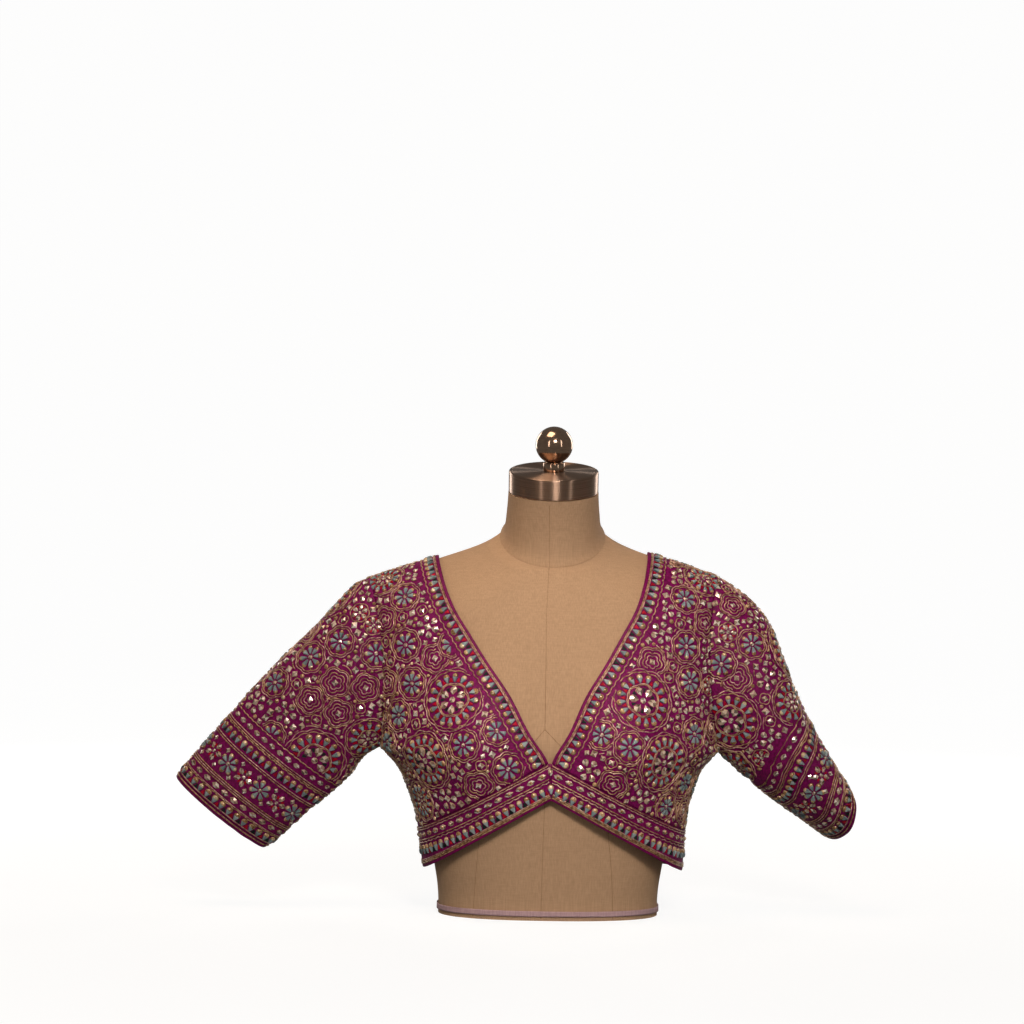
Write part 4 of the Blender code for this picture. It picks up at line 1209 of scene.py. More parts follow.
def rowPlaces(patch, edge, distance, pitch, shift, span, start):
    # Evenly spaced places on the line at a distance from an edge, moved along by a share of the pitch
    v, u, heading, _ = edgeStops(patch, edge, 2.0 if patch["closed"] else pitch, span, start)
    if shift and not patch["closed"]:
        normal = unit(lookUp(patch, v, u, "normals"))
        along = np.cross(normal, heading)
        v, u, _ = walk(patch, v, u, along, np.full(len(v), shift * pitch), 2)
        normal = unit(lookUp(patch, v, u, "normals"))
        heading = unit(heading - normal * dot(heading, normal))
    v, u, heading = walk(patch, v, u, heading, np.full(len(v), float(distance)))
    if not patch["closed"]:
        return v, u, heading
    # Round a sleeve the line isn't as long as its edge, so its own length is shared out, in an even number
    v, u = np.append(v, v[0]), np.unwrap(np.append(u, u[0]), period=patch["points"].shape[1])
    heading = np.concatenate([heading, heading[:1]])
    steps = np.linalg.norm(np.diff(lookUp(patch, v, u, "points"), axis=0), axis=1)
    walked = np.concatenate([[0], np.cumsum(steps)])
    count = max(2, 2 * int(round(walked[-1] / pitch / 2)))
    stops = (np.arange(count) + shift) * walked[-1] / count
    v, u, *heading = (np.interp(stops, walked, field) for field in (v, u, *heading.T))
    return v, u, unit(np.stack(heading, axis=-1))


def rowGems(bench, edge, distance, pitch, shape, length, width, height, colour, spin=0.0, shift=0.0,
            limits=None, span=None, every=1, first=0, start=None, beyond=0.0):
    # One row of small pieces, beyond a line that keeps a distance from an edge
    patch = bench["patch"]
    v, u, heading = rowPlaces(patch, edge, distance, pitch, shift, span, start)
    if beyond:
        v, u, heading = walk(patch, v, u, heading * np.sign(beyond), np.full(len(v), abs(beyond)), 3)
        heading = heading * np.sign(beyond)
    keep = roomOn(patch, v, u, limits or {}) > 0.75 * width
    keep &= np.arange(len(v)) % every == first
    addGems(bench, shape, v, u, heading, spin, length, width, height, colour, keep)
    return v, u, heading, keep


# A border's drop: a domed cap, a floss wedge that points back from it, and the triangle beside it.
# Each is: shape, colour, share of the drop's depth away from its middle, half length and half width as shares of
# the drop's depth and of half the pitch, and height
drop = (
    ("round", "cap", 0.15, 0.35, 0.84, 1.9),
    ("wedge", "blue", -0.17, 0.34, 0.74, 2.1),
    ("triangle", None, -0.24, 0.25, 0.56, 1.0),
)


def capRow(bench, edge, distance, pitch, reach, spin=0.0, limits=None, span=None, start=None):
    # The border's main row. distance is to the row's middle and reach its whole depth. With spin of half a
    # turn the caps face back. The triangles are red and green in turn.
    facing = 1 if spin == 0 else -1
    for shape, colour, away, length, width, height in drop:
        options = {
            "limits": limits, "span": span, "spin": spin, "start": start, "beyond": facing * away * reach,
        }
        place = (bench, edge, distance, pitch, shape)
        sizes = (length * reach, width * pitch / 2, height)
        if colour:
            rowGems(*place, *sizes, colour, **options)
        else:
            rowGems(*place, *sizes, "red", shift=0.5, every=2, first=0, **options)
            rowGems(*place, *sizes, "green", shift=0.5, every=2, first=1, **options)


def centreDrop(bench, fall, shape, length, width, height, colour, spin=0.0):
    # One piece on the centre front line, at a distance down from the band's top corner, heading down
    patch = bench["patch"]
    v, u = np.array([len(patch["points"]) - 1.0]), np.array([0.0])
    v, u, heading = walk(patch, v, u, unit(-lookUp(patch, v, u, "down")), np.array([float(fall)]), 8)
    addGems(bench, shape, v, u, heading, spin, length, width, height, colour, np.array([True]))


def gemMesh(bench, colours, name, material, edgeColour):
    # Every small piece of a bench: a sunk foot, a shoulder ring, and facets that meet at a peak
    random = bench["random"]
    allPoints, sides, tops, feet, domed = [], [], [], {}, []
    sidePaint, topPaint, footPaint = [], [], {}
    start = 0
    for shape, colour, point, ex, ey, normal, sizes in bench["gems"]:
        if colour not in colours:
            continue
        cut, outline = cuts[colour], np.array(outlines[shape], float)
        corners, count = len(outline), len(point)
        flat = np.concatenate([outline, outline * cut["top"], [[0.0, 0.0]]])
        high = np.concatenate([np.zeros(corners), np.full(corners, cut["rim"]), [1.0]])
        grow = 1 + random.uniform(-0.06, 0.06, (count, 1, 1))
        place = (
            point[:, None]
            + ex[:, None] * (flat[None, :, :1] * sizes[:, None, :1]) * grow
            + ey[:, None] * (flat[None, :, 1:] * sizes[:, None, 1:2]) * grow
            + normal[:, None] * (high[None, :, None] * (sizes[:, None, 2:] + sunk) - sunk)
        )
        tilt = random.normal(0, cut["lean"], (count, 1, 2))
        lean = flat[None, :, 0] * tilt[..., 0] + flat[None, :, 1] * tilt[..., 1]
        lean = lean * sizes[:, 2][:, None] * (high[None] > 0)
        place = place + normal[:, None] * lean[..., None]
        allPoints.append(place.reshape(-1, 3))
        each = 2 * corners + 1
        base = start + np.arange(count)[:, None, None] * each
        ring = np.arange(corners)
        following = (ring + 1) % corners
        side = np.stack([ring, following, following + corners, ring + corners], axis=-1)
        top = np.stack([ring + corners, following + corners, 0 * ring + 2 * corners], axis=-1)
        sides.append((base + side).reshape(-1, 4))
        tops.append((base + top).reshape(-1, 3))
        domed.append(np.full(count * corners, colour == "cap"))
        feet.setdefault(corners, []).append(base[:, 0, :] + ring[::-1][None])
        palette = toneTable[colour]
        own = palette[random.integers(0, len(palette), (count, 1))]
        other = palette[random.integers(0, len(palette), (count, corners))]
        if colour == "mirror":
            # Painted reflection: opposite quarters of a mirror are painted light and the others dark, as its slopes
            # face two ways and would reflect different parts of the room
            dark = toneTable["mirrorPaintedDarkReflection"][random.integers(0, 4, (count, corners))]
            quarter = ring * 4 // corners + random.integers(0, 2, (count, 1))
            other = np.where((quarter % 2 == 0)[..., None], other, dark)
        facet = own * (1 - cut["facets"]) + other * cut["facets"]
        # Side faces take a rim tone: gold for mirrors and caps, the real gold of their setting; for floss the piece's
        # own tone at 0.7, a painted shade on its sloping sides
        rim = toneTable[edgeColour or colour][random.integers(0, 4, (count, 1))]
        rim = np.broadcast_to(rim * (1.0 if edgeColour else 0.7), (count, corners, 4))
        sidePaint.append(np.repeat(rim.reshape(-1, 4), 4, axis=0))
        topPaint.append(np.repeat(facet.reshape(-1, 4), 3, axis=0))
        footPaint.setdefault(corners, []).append(np.repeat(rim[:, 0], corners, axis=0))
        start += count * each
    if not allPoints:
        return None
    faceSets = [np.concatenate(sides), np.concatenate(tops)]
    paints = [np.concatenate(sidePaint), np.concatenate(topPaint)]
    for corners in sorted(feet):
        faceSets.append(np.concatenate(feet[corners]))
        paints.append(np.concatenate(footPaint[corners]))
    paint = np.concatenate(paints)
    paint[:, 3] = 1
    smooth = np.concatenate([*domed, *domed, *(np.full(len(foot), False) for foot in faceSets[2:])])
    return makeMesh(name, np.concatenate(allPoints), faceSets, material, smooth, paint)


cordCut = {"foot": 0.25, "height": 0.95, "top": 0.6}


def cordMesh(bench, name):
    # Each cord is a four-sided bead of thread along its line: two corners in the cloth and two on top
    patch, random = bench["patch"], bench["random"]
    allPoints, quads, paints = [], [], []
    start = 0
    for v, u, colour, width, closed in bench["cords"]:
        point, normal = lookUp(patch, v, u, "points", "normals")
        normal = unit(normal)
        if closed:
            along = np.roll(point, -1, 0) - np.roll(point, 1, 0)
        else:
            along = np.gradient(point, axis=0)
        beside = unit(np.cross(along, normal)) * width / 2
        count = len(point)
        swell = 1 + 0.16 * np.cos(np.arange(count) * np.pi)[:, None] + random.uniform(-0.08, 0.08, (count, 1))
        foot, top = -cordCut["foot"] * normal, cordCut["height"] * normal * swell
        share = cordCut["top"] * swell
        ring = np.stack(
            [point - beside + foot, point - beside * share + top, point + beside * share + top, point + beside + foot],
            axis=1,
        )
        allPoints.append(ring.reshape(-1, 3))
        k = np.arange(count if closed else count - 1)[:, None]
        n = (k + 1) % count
        c = np.arange(4)[None]
        d = (c + 1) % 4
        quads.append(start + np.stack([4 * k + c, 4 * n + c, 4 * n + d, 4 * k + d], axis=-1).reshape(-1, 4))
        if not closed:
            last = 4 * (count - 1)
            quads.append(start + np.array([[0, 1, 2, 3], [last + 3, last + 2, last + 1, last]]))
        palette = toneTable[colour]
        # A random tone for each point of a cord: the thread's own gold or pink, varied as painted glints of its twist
        tone = palette[random.integers(0, len(palette), count)]
        paints.append(np.repeat(tone, 4, axis=0))
        start += 4 * count
    if not allPoints:
        return None
    paint = np.concatenate(paints)
    paint[:, 3] = 1
    return makeMesh(name, np.concatenate(allPoints), [np.concatenate(quads)], zari, True, paint)


# The middles of the large motifs on the fronts: side, kind, across and up on the cloth, size
frontMotifs = (
    (wearersRight, "medallion", -108, 242, 1.0),
    (wearersRight, "medallion", -137, 174, 0.94),
    (wearersRight, "flower", -95.5, 194, 0.95),
    (wearersRight, "flower", -59, 210, 0.85),
    (wearersRight, "rosette", -128, 286, 1.0),
    (wearersRight, "rosette", -78, 149.5, 1.0),
    (wearersRight, "flower", -161, 299.5, 0.95),
    (wearersRight, "flower", -163, 352.5, 0.9),
    (wearersRight, "flower", -110, 302, 0.8),
    (wearersLeft, "medallion", 100, 244, 1.0),
    (wearersLeft, "medallion", 124, 176, 0.94),
    (wearersLeft, "flower", 85.5, 194, 0.95),
    (wearersLeft, "flower", 55, 207, 0.85),
    (wearersLeft, "rosette", 110, 285.5, 1.0),
    (wearersLeft, "rosette", 68, 153, 1.0),
    (wearersLeft, "flower", 148, 302, 0.95),
    (wearersLeft, "flower", 147, 354, 0.9),
)
# On the sleeves: side, kind, round from the top line towards the front, up from the cuff seam, size
sleeveMotifs = (
    (wearersRight, "flower", 51, 228, 0.9),
    (wearersRight, "flower", 90, 253, 0.9),
    (wearersRight, "rosette", 82, 201, 1.0),
    (wearersRight, "medallion", 127, 153, 1.0),
    (wearersRight, "flower", 28, 159, 0.9),
    (wearersRight, "flower", 69, 124, 0.85),
    (wearersRight, "bloom", 42, 281, 1.0),
    (wearersRight, "rosette", 5, 204, 1.0),
    (wearersLeft, "flower", 96, 217, 0.9),
    (wearersLeft, "flower", 55, 202, 0.9),
    (wearersLeft, "rosette", 94, 175, 1.0),
    (wearersLeft, "medallion", 127, 134, 0.95),
    (wearersLeft, "bloom", 61, 243, 1.0),
    (wearersLeft, "rosette", 29, 251, 0.9),
    (wearersLeft, "flower", 144, 198, 0.85),
)
packing = (
    ("medallion", 0.95, 3), ("wheel", 0.97, 3), ("flower", 0.95, 4), ("rosette", 0.95, 3), ("wheel", 0.85, 3),
    ("cluster", 1.0, 5), ("flower", 0.85, 6), ("rosette", 0.82, 6), ("cluster", 0.9, 8), ("bloom", 1.0, 20),
    ("eye", 1.0, 8), ("spark", 1.0, 90), ("drop", 1.0, 60), ("spark", 0.8, 90), ("bead", 1.0, 90),
    ("bead", 0.8, 120),
)
frontPacking = packing[2:]


def onFront(patch, x, z, side):
    # The grid place nearest a point of the cloth, then one step for the rest of the way
    target = blousePoints(np.array([x], float), np.array([z], float), side, front)[0]
    grid = patch["points"]
    apart = np.linalg.norm(grid - target, axis=-1)
    row, column = np.unravel_index(np.argmin(apart), apart.shape)
    v, u = np.array([float(row)]), np.array([float(column)])
    dv, du = gridStep(patch, v, u, (target - grid[row, column])[None])
    return v[0] + dv[0], u[0] + du[0]


def onSleeve(patch, around, up):
    rows = patch["points"].shape[0]
    v, u = np.array([rows - 1.0]), np.array([0.0])
    v, u, _ = walk(patch, v, u, unit(-lookUp(patch, v, u, "down")), np.array([float(up)]), 12)
    v, u, _ = walk(patch, v, u, unit(lookUp(patch, v, u, "across")), np.array([float(around)]), 12)
    return v[0], u[0]


def placeByHand(bench, rows, find, limits):
    for kind in ("medallion", "flower", "rosette", "bloom"):
        found = [(*find(*row[1:3]), row[3]) for row in rows if row[0] == kind]
        if found:
            v, u, scale = np.array(found).T
            turns = bench["random"].uniform(0, 2 * np.pi, len(found))
            addMotifs(bench, kind, v, u, turns, scale, limits)


def workNeckBorder(bench, span=None):
    limits = {"low": 0.8, "high": 0.8}
    options = {"limits": limits, "span": span}
    rowLine(bench, "inner", 0.5, "pink", 1.5, **options)
    capRow(bench, "inner", 7.4, 9.4, 11.4, **options)
    rowLine(bench, "inner", 14.0, "gold", wave=1.6, pitch=9.4, **options)


def workPanel(name, seed):
    patch = patches[name]
    bench = newBench(patch, seed)
    side = wearersRight if name.endswith("right") else wearersLeft
    field = {"low": 0.4, "high": -1.0, "outer": -1.2, "inner": 18.0}
    if name.startswith("front"):
        workNeckBorder(bench)
        rows = [row[1:] for row in frontMotifs if row[0] == side]
        placeByHand(bench, rows, lambda x, z: onFront(patch, x, z, side), field)
        fill(bench, field, frontPacking)
    else:
        start = panelRows["centreBack"]
        workNeckBorder(bench, (start, None))
        neck = edgePoints(patch, "inner")[start:]
        apart = np.linalg.norm(patch["points"][:, :, None] - neck[None, None], axis=-1).min(axis=-1)
        patch["neck"] = apart[..., None]
        for distance, colour in ((1.6, "gold"), (4.0, "pink")):
            rowLine(bench, "inner", distance, colour, limits={"low": 0.8, "neck": 18.0}, span=(0, start))
        field = {"low": 0.4, "high": -1.0, "outer": -1.2, "inner": 5.4, "neck": 18.0}
        fill(bench, field, packing)
    addHalos(bench, field)
    return bench


def workBand(name, seed):
    # From the top seam down: cord, row of lenses, double cord, the cap row, and a braid
    bench = newBench(patches[name], seed)
    limits = {"inner": 0.6, "outer": 0.4, "low": 0.5}
    lineLimits = {"inner": 0.2, "outer": 0.2, "low": 0.3}
    for distance, colour, wave in ((1.6, "gold", 0), (3.7, "pink", 0.6), (15.2, "gold", 0), (17.2, "pink", 1.3)):
        rowLine(bench, "high", distance, colour, wave=wave, pitch=9.2, limits=lineLimits)
    # The rows count from the centre front line, where one piece lies, and the seam slants away from it
    slant = 0.53 if "front" in name else 0.0
    chain, drops = {"at": 9.6, "pitch": 13.5}, {"at": 25.6, "pitch": 9.2, "reach": 11.4}
    first = chain["pitch"] * (0.75 if slant else 0.5) + slant * chain["at"]
    options = {"limits": limits, "start": first}
    rowGems(bench, "high", chain["at"], chain["pitch"], "lens", 5.6, 3.2, 1.3, "mirror", np.pi / 2, **options)
    rowGems(bench, "high", chain["at"], chain["pitch"], "round", 2.3, 2.3, 2.1, "cap", **options)
    first = drops["pitch"] * (1.0 if slant else 0.5) + slant * drops["at"]
    capRow(bench, "high", drops["at"], drops["pitch"], drops["reach"], np.pi, limits=limits, start=first)
    for distance, colour, width in ((0.9, "gold", 1.8), (2.6, "pink", 1.4)):
        rowLine(bench, "low", distance, colour, width, limits={"inner": 0.2, "outer": 0.2})
    if name == "band_front_right":
        steep = math.sqrt(1 + slant**2)
        centreDrop(bench, chain["at"] * steep - 1.5, "lens", 5.6, 3.2, 1.3, "mirror")
        centreDrop(bench, chain["at"] * steep - 1.5, "round", 2.3, 2.3, 2.1, "cap")
        for shape, colour, away, length, width, height in drop[:2]:
            sizes = (length * drops["reach"], width * drops["pitch"] / 2, height)
            centreDrop(bench, drops["at"] * steep - away * drops["reach"], shape, *sizes, colour, np.pi)
    return bench


def workSleeve(name, seed):
    # From the cuff up: cords, cap row, lenses, braid, a row of flowers and crosses, cords, cap row, lenses
    patch = patches[name]
    bench = newBench(patch, seed)
    side = wearersRight if name.endswith("right") else wearersLeft
    options = {"limits": {"high": 0.4}}
    for distance, colour, wave, pitch in (
        (0.8, "gold", 0, 9), (3.0, "pink", 0, 9), (13.6, "gold", 1.2, 10.5), (16.0, "pink", 0, 9),
        (27.0, "gold", 0, 9), (29.4, "pink", 0, 9), (31.8, "gold", 0, 9),
        (66.4, "gold", 0, 9), (69.0, "pink", 0, 9), (84.6, "gold", 1.2, 8.4), (87.4, "gold", 0, 9),
        (90.0, "pink", 0, 9), (103.6, "gold", 1.0, 8.0),
    ):
        rowLine(bench, "high", distance, colour, wave=wave, pitch=pitch, **options)
    capRow(bench, "high", 8.6, 10.5, 10.4, **options)
    rowGems(bench, "high", 21.6, 13.0, "lens", 5.4, 3.6, 1.6, "mirror", np.pi / 2, **options)
    v, u, heading, _ = rowGems(bench, "high", 49.0, 22.5, "round", 1.0, 1.0, 0.6, "mirror", **options)
    flowers = np.arange(len(v)) % 2 == 0
    for kind, chosen in (("bandFlower", flowers), ("bandCross", ~flowers)):
        addMotifs(bench, kind, v[chosen], u[chosen], np.full(chosen.sum(), 0.3), np.ones(chosen.sum()), {})
    for distance, shift in ((37.5, 0.5), (60.5, 0.5)):
        rowGems(bench, "high", distance, 22.5, "diamond", 3.6, 3.1, 1.5, "mirror", shift=shift, **options)
    capRow(bench, "high", 77.4, 8.8, 10.8, **options)
    rowGems(bench, "high", 97.0, 11.5, "lens", 4.6, 3.3, 1.5, "mirror", np.pi / 2, **options)
    bench["placed"].clear()
    field = {"low": -1.2, "high": 105.6}
    rows = [row[1:] for row in sleeveMotifs if row[0] == side]
    placeByHand(bench, rows, lambda around, up: onSleeve(patch, around, up), field)
    fill(bench, field, packing)
    addHalos(bench, field)
    return bench


def workBinding(name, seed):
    # One cord couched beside the seam, which is a cuff's first row and the other strips' last
    bench = newBench(bindings[name][1], seed)
    rowLine(bench, "low" if bench["patch"]["closed"] else "high", 1.1, "gold", 1.5)
    return bench


benches = {}
for number, name in enumerate(patches):
    if name.startswith("band"):
        benches[name] = workBand(name, 100 + number)
    elif name.startswith("sleeve"):
        benches[name] = workSleeve(name, 200 + number)
    else:
        benches[name] = workPanel(name, 300 + number)
for number, name in enumerate(bindings):
    benches[name] = workBinding(name, 400 + number)

worked, counted = {}, 0
for name, bench in benches.items():
    made = [
        gemMesh(bench, ("mirror", "cap"), f"mirrors_{name}", sheesha, "gold"),
        gemMesh(bench, ("blue", "red", "green"), f"stitches_{name}", floss, None),
        cordMesh(bench, f"cords_{name}"),
    ]
    worked[name] = [piece for piece in made if piece is not None]
    for piece in worked[name]:
        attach(piece, "root")
        counted += len(piece.data.loops) - 2 * len(piece.data.polygons)
print("embroidery worked:", counted, "triangles")

# Each cut piece of cloth is a sheet, with its embroidery, and the binding that is sewn to it
edging = {"front": "neck_binding", "band_front": "hem_binding", "sleeve": "cuff_binding"}
for name, patch in patches.items():
    kind, _, side = name.rpartition("_")
    sewn = list(worked[name])
    if kind in edging:
        binding = f"{edging[kind]}_{side}"
        sewn += [bindings[binding][0], *worked[binding]]


# The dress form's torso, under the blouse
form = {
    "lift": -3.65,
    "flare": 48.0,
    "flareSpread": 42.0,
    "apexDown": 50.0,
    "segments": 220,
    "lowerRows": 90,
    "shoulderRows": 36,
    "seam": {"y": -6.0, "z": 420.5, "tilt": 31.5},
    "seamGap": 0.5,
}
formSide = (
    (0, 122.5), (8, 122.3), (30, 123.5), (52, 127), (90, 134), (120, 140), (160, 148),
    (190, 151), (230, 153), (270, 157), (310, 165), (345, 171), (370, 169), (390, 156),
)
formDepths = {
    front: (
        (0, 88), (8, 87), (50, 90), (100, 97), (135, 102), (175, 108), (190, 109), (230, 105),
        (280, 97), (320, 88), (360, 75), (386, 64), (421, 57), (460, 52),
    ),
    back: (
        (0, 86), (50, 90), (120, 98), (200, 105), (260, 108), (320, 104), (360, 94),
        (400, 80), (425, 70), (455, 62.5),
    ),
}


def formShoulder(x):
    flare = form["flare"] * np.exp(-((x / form["flareSpread"]) ** 2))
    return shoulderHeight(x) + form["lift"] + flare


def formDepth(x, z, facing):
    share = np.abs(x) / smoothCurve(formSide, z)
    depth = smoothCurve(formDepths[facing], z) * acrossSection(share)
    if facing == front:
        depth = depth + bust(x, z, form["apexDown"]) * (1 - np.clip(share, 0, 1) ** 6)
    return depth * rounding(formShoulder(x) - z)


def formRing(heightOf, segments, outset=0.0):
    # One ring, whose height may change across; x goes round as the sine of the turn
    end = 150.0
    for _ in range(30):
        end = float(smoothCurve(formSide, heightOf(end)))
    turn = np.linspace(0, 2 * np.pi, segments + 1)[:-1]
    x = end * np.sin(turn)
    z = heightOf(x) + 0 * x
    y = np.where(np.cos(turn) >= 0, -formDepth(x, z, front), formDepth(x, z, back))
    y = np.where(np.abs(np.cos(turn)) < 1e-9, 0, y)
    away = unit(np.stack([x / end**2, y / 90.0**2, 0 * z], axis=-1))
    return np.stack([x, y, z], axis=-1) + outset * away


def tilted(y, z, tilt):
    return Matrix.Translation(Vector((0, y, z)) * mm) @ Matrix.Rotation(math.radians(tilt), 4, "X")


def loftPiece(name, rings, material, bottom=True, top=True):
    # A closed solid through rings of equal counts; its ends are flat
    rings = np.array(rings)
    rows, columns = rings.shape[:2]
    faces = gridFaces(rows, columns, True)
    sets = [faces]
    if bottom:
        sets.append(np.arange(columns)[None, ::-1])
    if top:
        sets.append(np.arange(columns)[None] + (rows - 1) * columns)
    return makeMesh(name, rings.reshape(-1, 3), sets, material)


def mended(piece, distance=0.00002, sharp=40):
    # Merges doubles, then turns every face outwards
    bm = bmesh.new()
    bm.from_mesh(piece.data)
    bmesh.ops.remove_doubles(bm, verts=bm.verts, dist=distance)
    bmesh.ops.dissolve_degenerate(bm, edges=bm.edges, dist=distance / 2)
    bmesh.ops.recalc_face_normals(bm, faces=bm.faces)
    bm.to_mesh(piece.data)
    bm.free()
    piece.data.shade_smooth()
    piece.data.set_sharp_from_angle(angle=math.radians(sharp))
    return piece


def settle(piece, node=None, body="root"):
    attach(piece, body)
    if node:
        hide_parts(node)
    return piece


def makeTorso():
    # Rings up to the shoulder line, then the tilted plane of the neck seam cuts the top off
    rings = []
    for share in np.linspace(0, 1, form["lowerRows"] + 1)[:-1]:
        rings.append(
            formRing(lambda x, s=share: s * (formShoulder(x) - bodice["shoulderRound"]), form["segments"])
        )
    for turn in np.linspace(np.pi / 2, 0, form["shoulderRows"] + 1):
        drop = bodice["shoulderRound"] * (1 - math.cos(turn))
        rings.append(formRing(lambda x, d=drop: formShoulder(x) - d, form["segments"]))
    rings[-1][:, 1] = 0
    torso = mended(loftPiece("torso", rings, linen))
    plane = tilted(form["seam"]["y"], form["seam"]["z"], form["seam"]["tilt"])
    normal = plane.to_3x3() @ Vector((0, 0, 1))
    bm = bmesh.new()
    bm.from_mesh(torso.data)
    bmesh.ops.bisect_plane(
        bm,
        geom=bm.verts[:] + bm.edges[:] + bm.faces[:],
        plane_co=plane.translation - normal * form["seamGap"] / 2 * mm,
        plane_no=normal,
        clear_outer=True,
    )
    edges = [edge for edge in bm.edges if edge.is_boundary]
    bmesh.ops.holes_fill(bm, edges=edges, sides=0)
    bmesh.ops.recalc_face_normals(bm, faces=bm.faces)
    bm.to_mesh(torso.data)
    bm.free()
    torso.data.shade_smooth()
    torso.data.set_sharp_from_angle(angle=math.radians(40))
    return settle(torso, "form_torso")


neck = {
    "cap": {"y": -21.6, "z": 470.9, "tilt": 13.0},
    # share of the way up, half width, half depth
    "rings": (
        (0.0, 59.0, 64.5), (0.10, 55.6, 60.6), (0.24, 53.6, 57.2), (0.50, 52.0, 53.6), (0.78, 50.8, 51.2),
        (1.0, 50.2, 50.2),
    ),
    "rows": 30,
}


def neckRings():
    # Ellipses that turn from the neck seam's plane to the cap's plane
    turn = np.linspace(0, 2 * np.pi, 145)[:-1]
    low, high = form["seam"], neck["cap"]
    rings = []
    for share in np.concatenate([[0], np.linspace(0.006, 1, neck["rows"])]):
        wide, deep = smoothCurve(neck["rings"], share)
        if share == 0:
            wide, deep = wide - 0.7, deep - 0.7
        place = tilted(
            low["y"] + (high["y"] - low["y"]) * share**1.2,
            low["z"] + (high["z"] - low["z"]) * share,
            low["tilt"] + (high["tilt"] - low["tilt"]) * share,
        )
        rise = form["seamGap"] / 2 if share == 0 else -0.17 if share == 1 else 0
        flat = np.stack([wide * np.sin(turn), -deep * np.cos(turn), rise + 0 * turn], axis=-1)
        turned = np.array(place.to_3x3())
        rings.append(flat @ turned.T + np.array(place.translation) / mm)
    return np.array(rings)


def makeNeck():
    return settle(mended(loftPiece("neck", neckRings(), linen)), "form_neck")


def spun(name, profile, material, segments=144):
    # A profile of (radius, height) turned round the cap's own axis, with a pole where the radius is 0
    profile = np.array(profile, float)
    turn = np.linspace(0, 2 * np.pi, segments + 1)[:-1]
    place = tilted(neck["cap"]["y"], neck["cap"]["z"], neck["cap"]["tilt"])
    radius, height = profile[:, :1], profile[:, 1:]
    flat = np.stack([radius * np.sin(turn), -radius * np.cos(turn), height + 0 * turn], axis=-1)
    points = flat @ np.array(place.to_3x3()).T + np.array(place.translation) / mm
    # The map runs both ways round from the front, so that it meets itself at the back, and along the profile
    walked = np.concatenate([[0], np.cumsum(np.linalg.norm(np.diff(profile, axis=0), axis=1))])
    uv = np.stack(np.broadcast_arrays(np.minimum(turn, 2 * np.pi - turn) * cap["radius"], walked[:, None]), axis=-1)
    faces = [gridFaces(len(profile), segments, True)]
    piece = makeMesh(name, points.reshape(-1, 3), faces, material, uv=uv.reshape(-1, 2))
    return mended(piece, sharp=32)


cap = {"radius": 50.0, "height": 24.0, "bevel": 1.4, "lip": 0.8}
ball = {"radius": 20.7, "rise": 29.0, "stub": 12.0, "stubHeight": 9.5, "groove": 8.5}


def makeCap():
    # A turned disc: eased rims, and a fine step under its top face
    r, h, e = cap["radius"], cap["height"] - 0.17, cap["bevel"]
    bend = np.linspace(0, np.pi / 2, 5)
    foot = [(r - e + e * math.sin(a), 0.17 + e - e * math.cos(a)) for a in bend]
    head = [(r - e + e * math.cos(a), h - e + e * math.sin(a)) for a in bend]
    side = [(r, z) for z in np.linspace(0.17 + e, h - e, 8)[1:-1]]
    top = [(r - 3.2, h), (r - 3.6, h - 0.25), (r - 4.0, h), (ball["stub"] + 4, h), (0, h)]
    return settle(spun("cap", [(0, 0.17)] + foot + side + head + top, capSteel), "neck_cap")


def makeBall():
    join = math.asin(ball["groove"] / ball["radius"])
    arc = np.linspace(0, np.pi - join, 40)
    high = cap["height"]
    profile = [(ball["radius"] * math.sin(a), high + ball["rise"] + ball["radius"] * math.cos(a)) for a in arc]
    profile[0] = (0, high + ball["rise"] + ball["radius"])
    e = 0.9
    profile += [
        (ball["groove"], high + ball["stubHeight"]),
        (ball["stub"] - e, high + ball["stubHeight"]),
        (ball["stub"] - 0.3 * e, high + ball["stubHeight"] - 0.3 * e),
        (ball["stub"], high + ball["stubHeight"] - e),
        (ball["stub"], high + 0.17),
        (0, high + 0.17),
    ]
    return settle(spun("ball", profile, ballSteel, 96), "finial")


tape = {"low": 4.5, "high": 10.5, "thickness": 0.8, "off": 1.0}


def makeTape():
    rings = []
    for height in np.linspace(tape["low"], tape["high"], 5):
        rings.append(formRing(lambda x, h=height: h + 0 * x, 220, tape["off"] + tape["thickness"]))
    points = np.array(rings)
    centre = np.array([0, 0, 1]) * points[..., 2:3]
    normals = unit((points - centre) / np.array([122.0**2, 87.0**2, 1]))
    faces = outward(gridFaces(*points.shape[:2], True), points, normals)
    piece = makeMesh("tape", points.reshape(-1, 3), [faces], tapeCloth)
    wall = piece.modifiers.new("wall", "SOLIDIFY")
    wall.thickness = tape["thickness"] * mm
    wall.offset = -1
    settle(piece, "waist_tape")
    return piece


# Seams of the form: the centre front, its two branches, and the side-front seams, as (x, z) points
formSeams = (
    (front, ((-4.2, 386.4), (-6.2, 340), (-6.4, 280), (-6.6, 230), (-6.7, 211))),
    (front, ((-6.7, 211), (-22, 193), (-41, 174), (-61, 157))),
    (front, ((-6.7, 211), (11, 193), (32, 174), (52, 157))),
    (front, ((-5.5, 150), (-6.5, 100), (-7.5, 50), (-8.0, 2))),
    (front, ((60, 150), (64, 100), (69, 50), (71, 2))),
    (front, ((-72, 150), (-76, 100), (-80, 50), (-83, 2))),
    (back, ((0.0, 440), (0.0, 300), (0.0, 150), (0.0, 2))),
    (back, ((78, 330), (72, 200), (68, 90), (66, 2))),
    (back, ((-78, 330), (-72, 200), (-68, 90), (-66, 2))),
)
seamCord = {"width": 0.75, "height": 0.25, "foot": 0.5, "neckAcross": (-3.6, -4.6)}


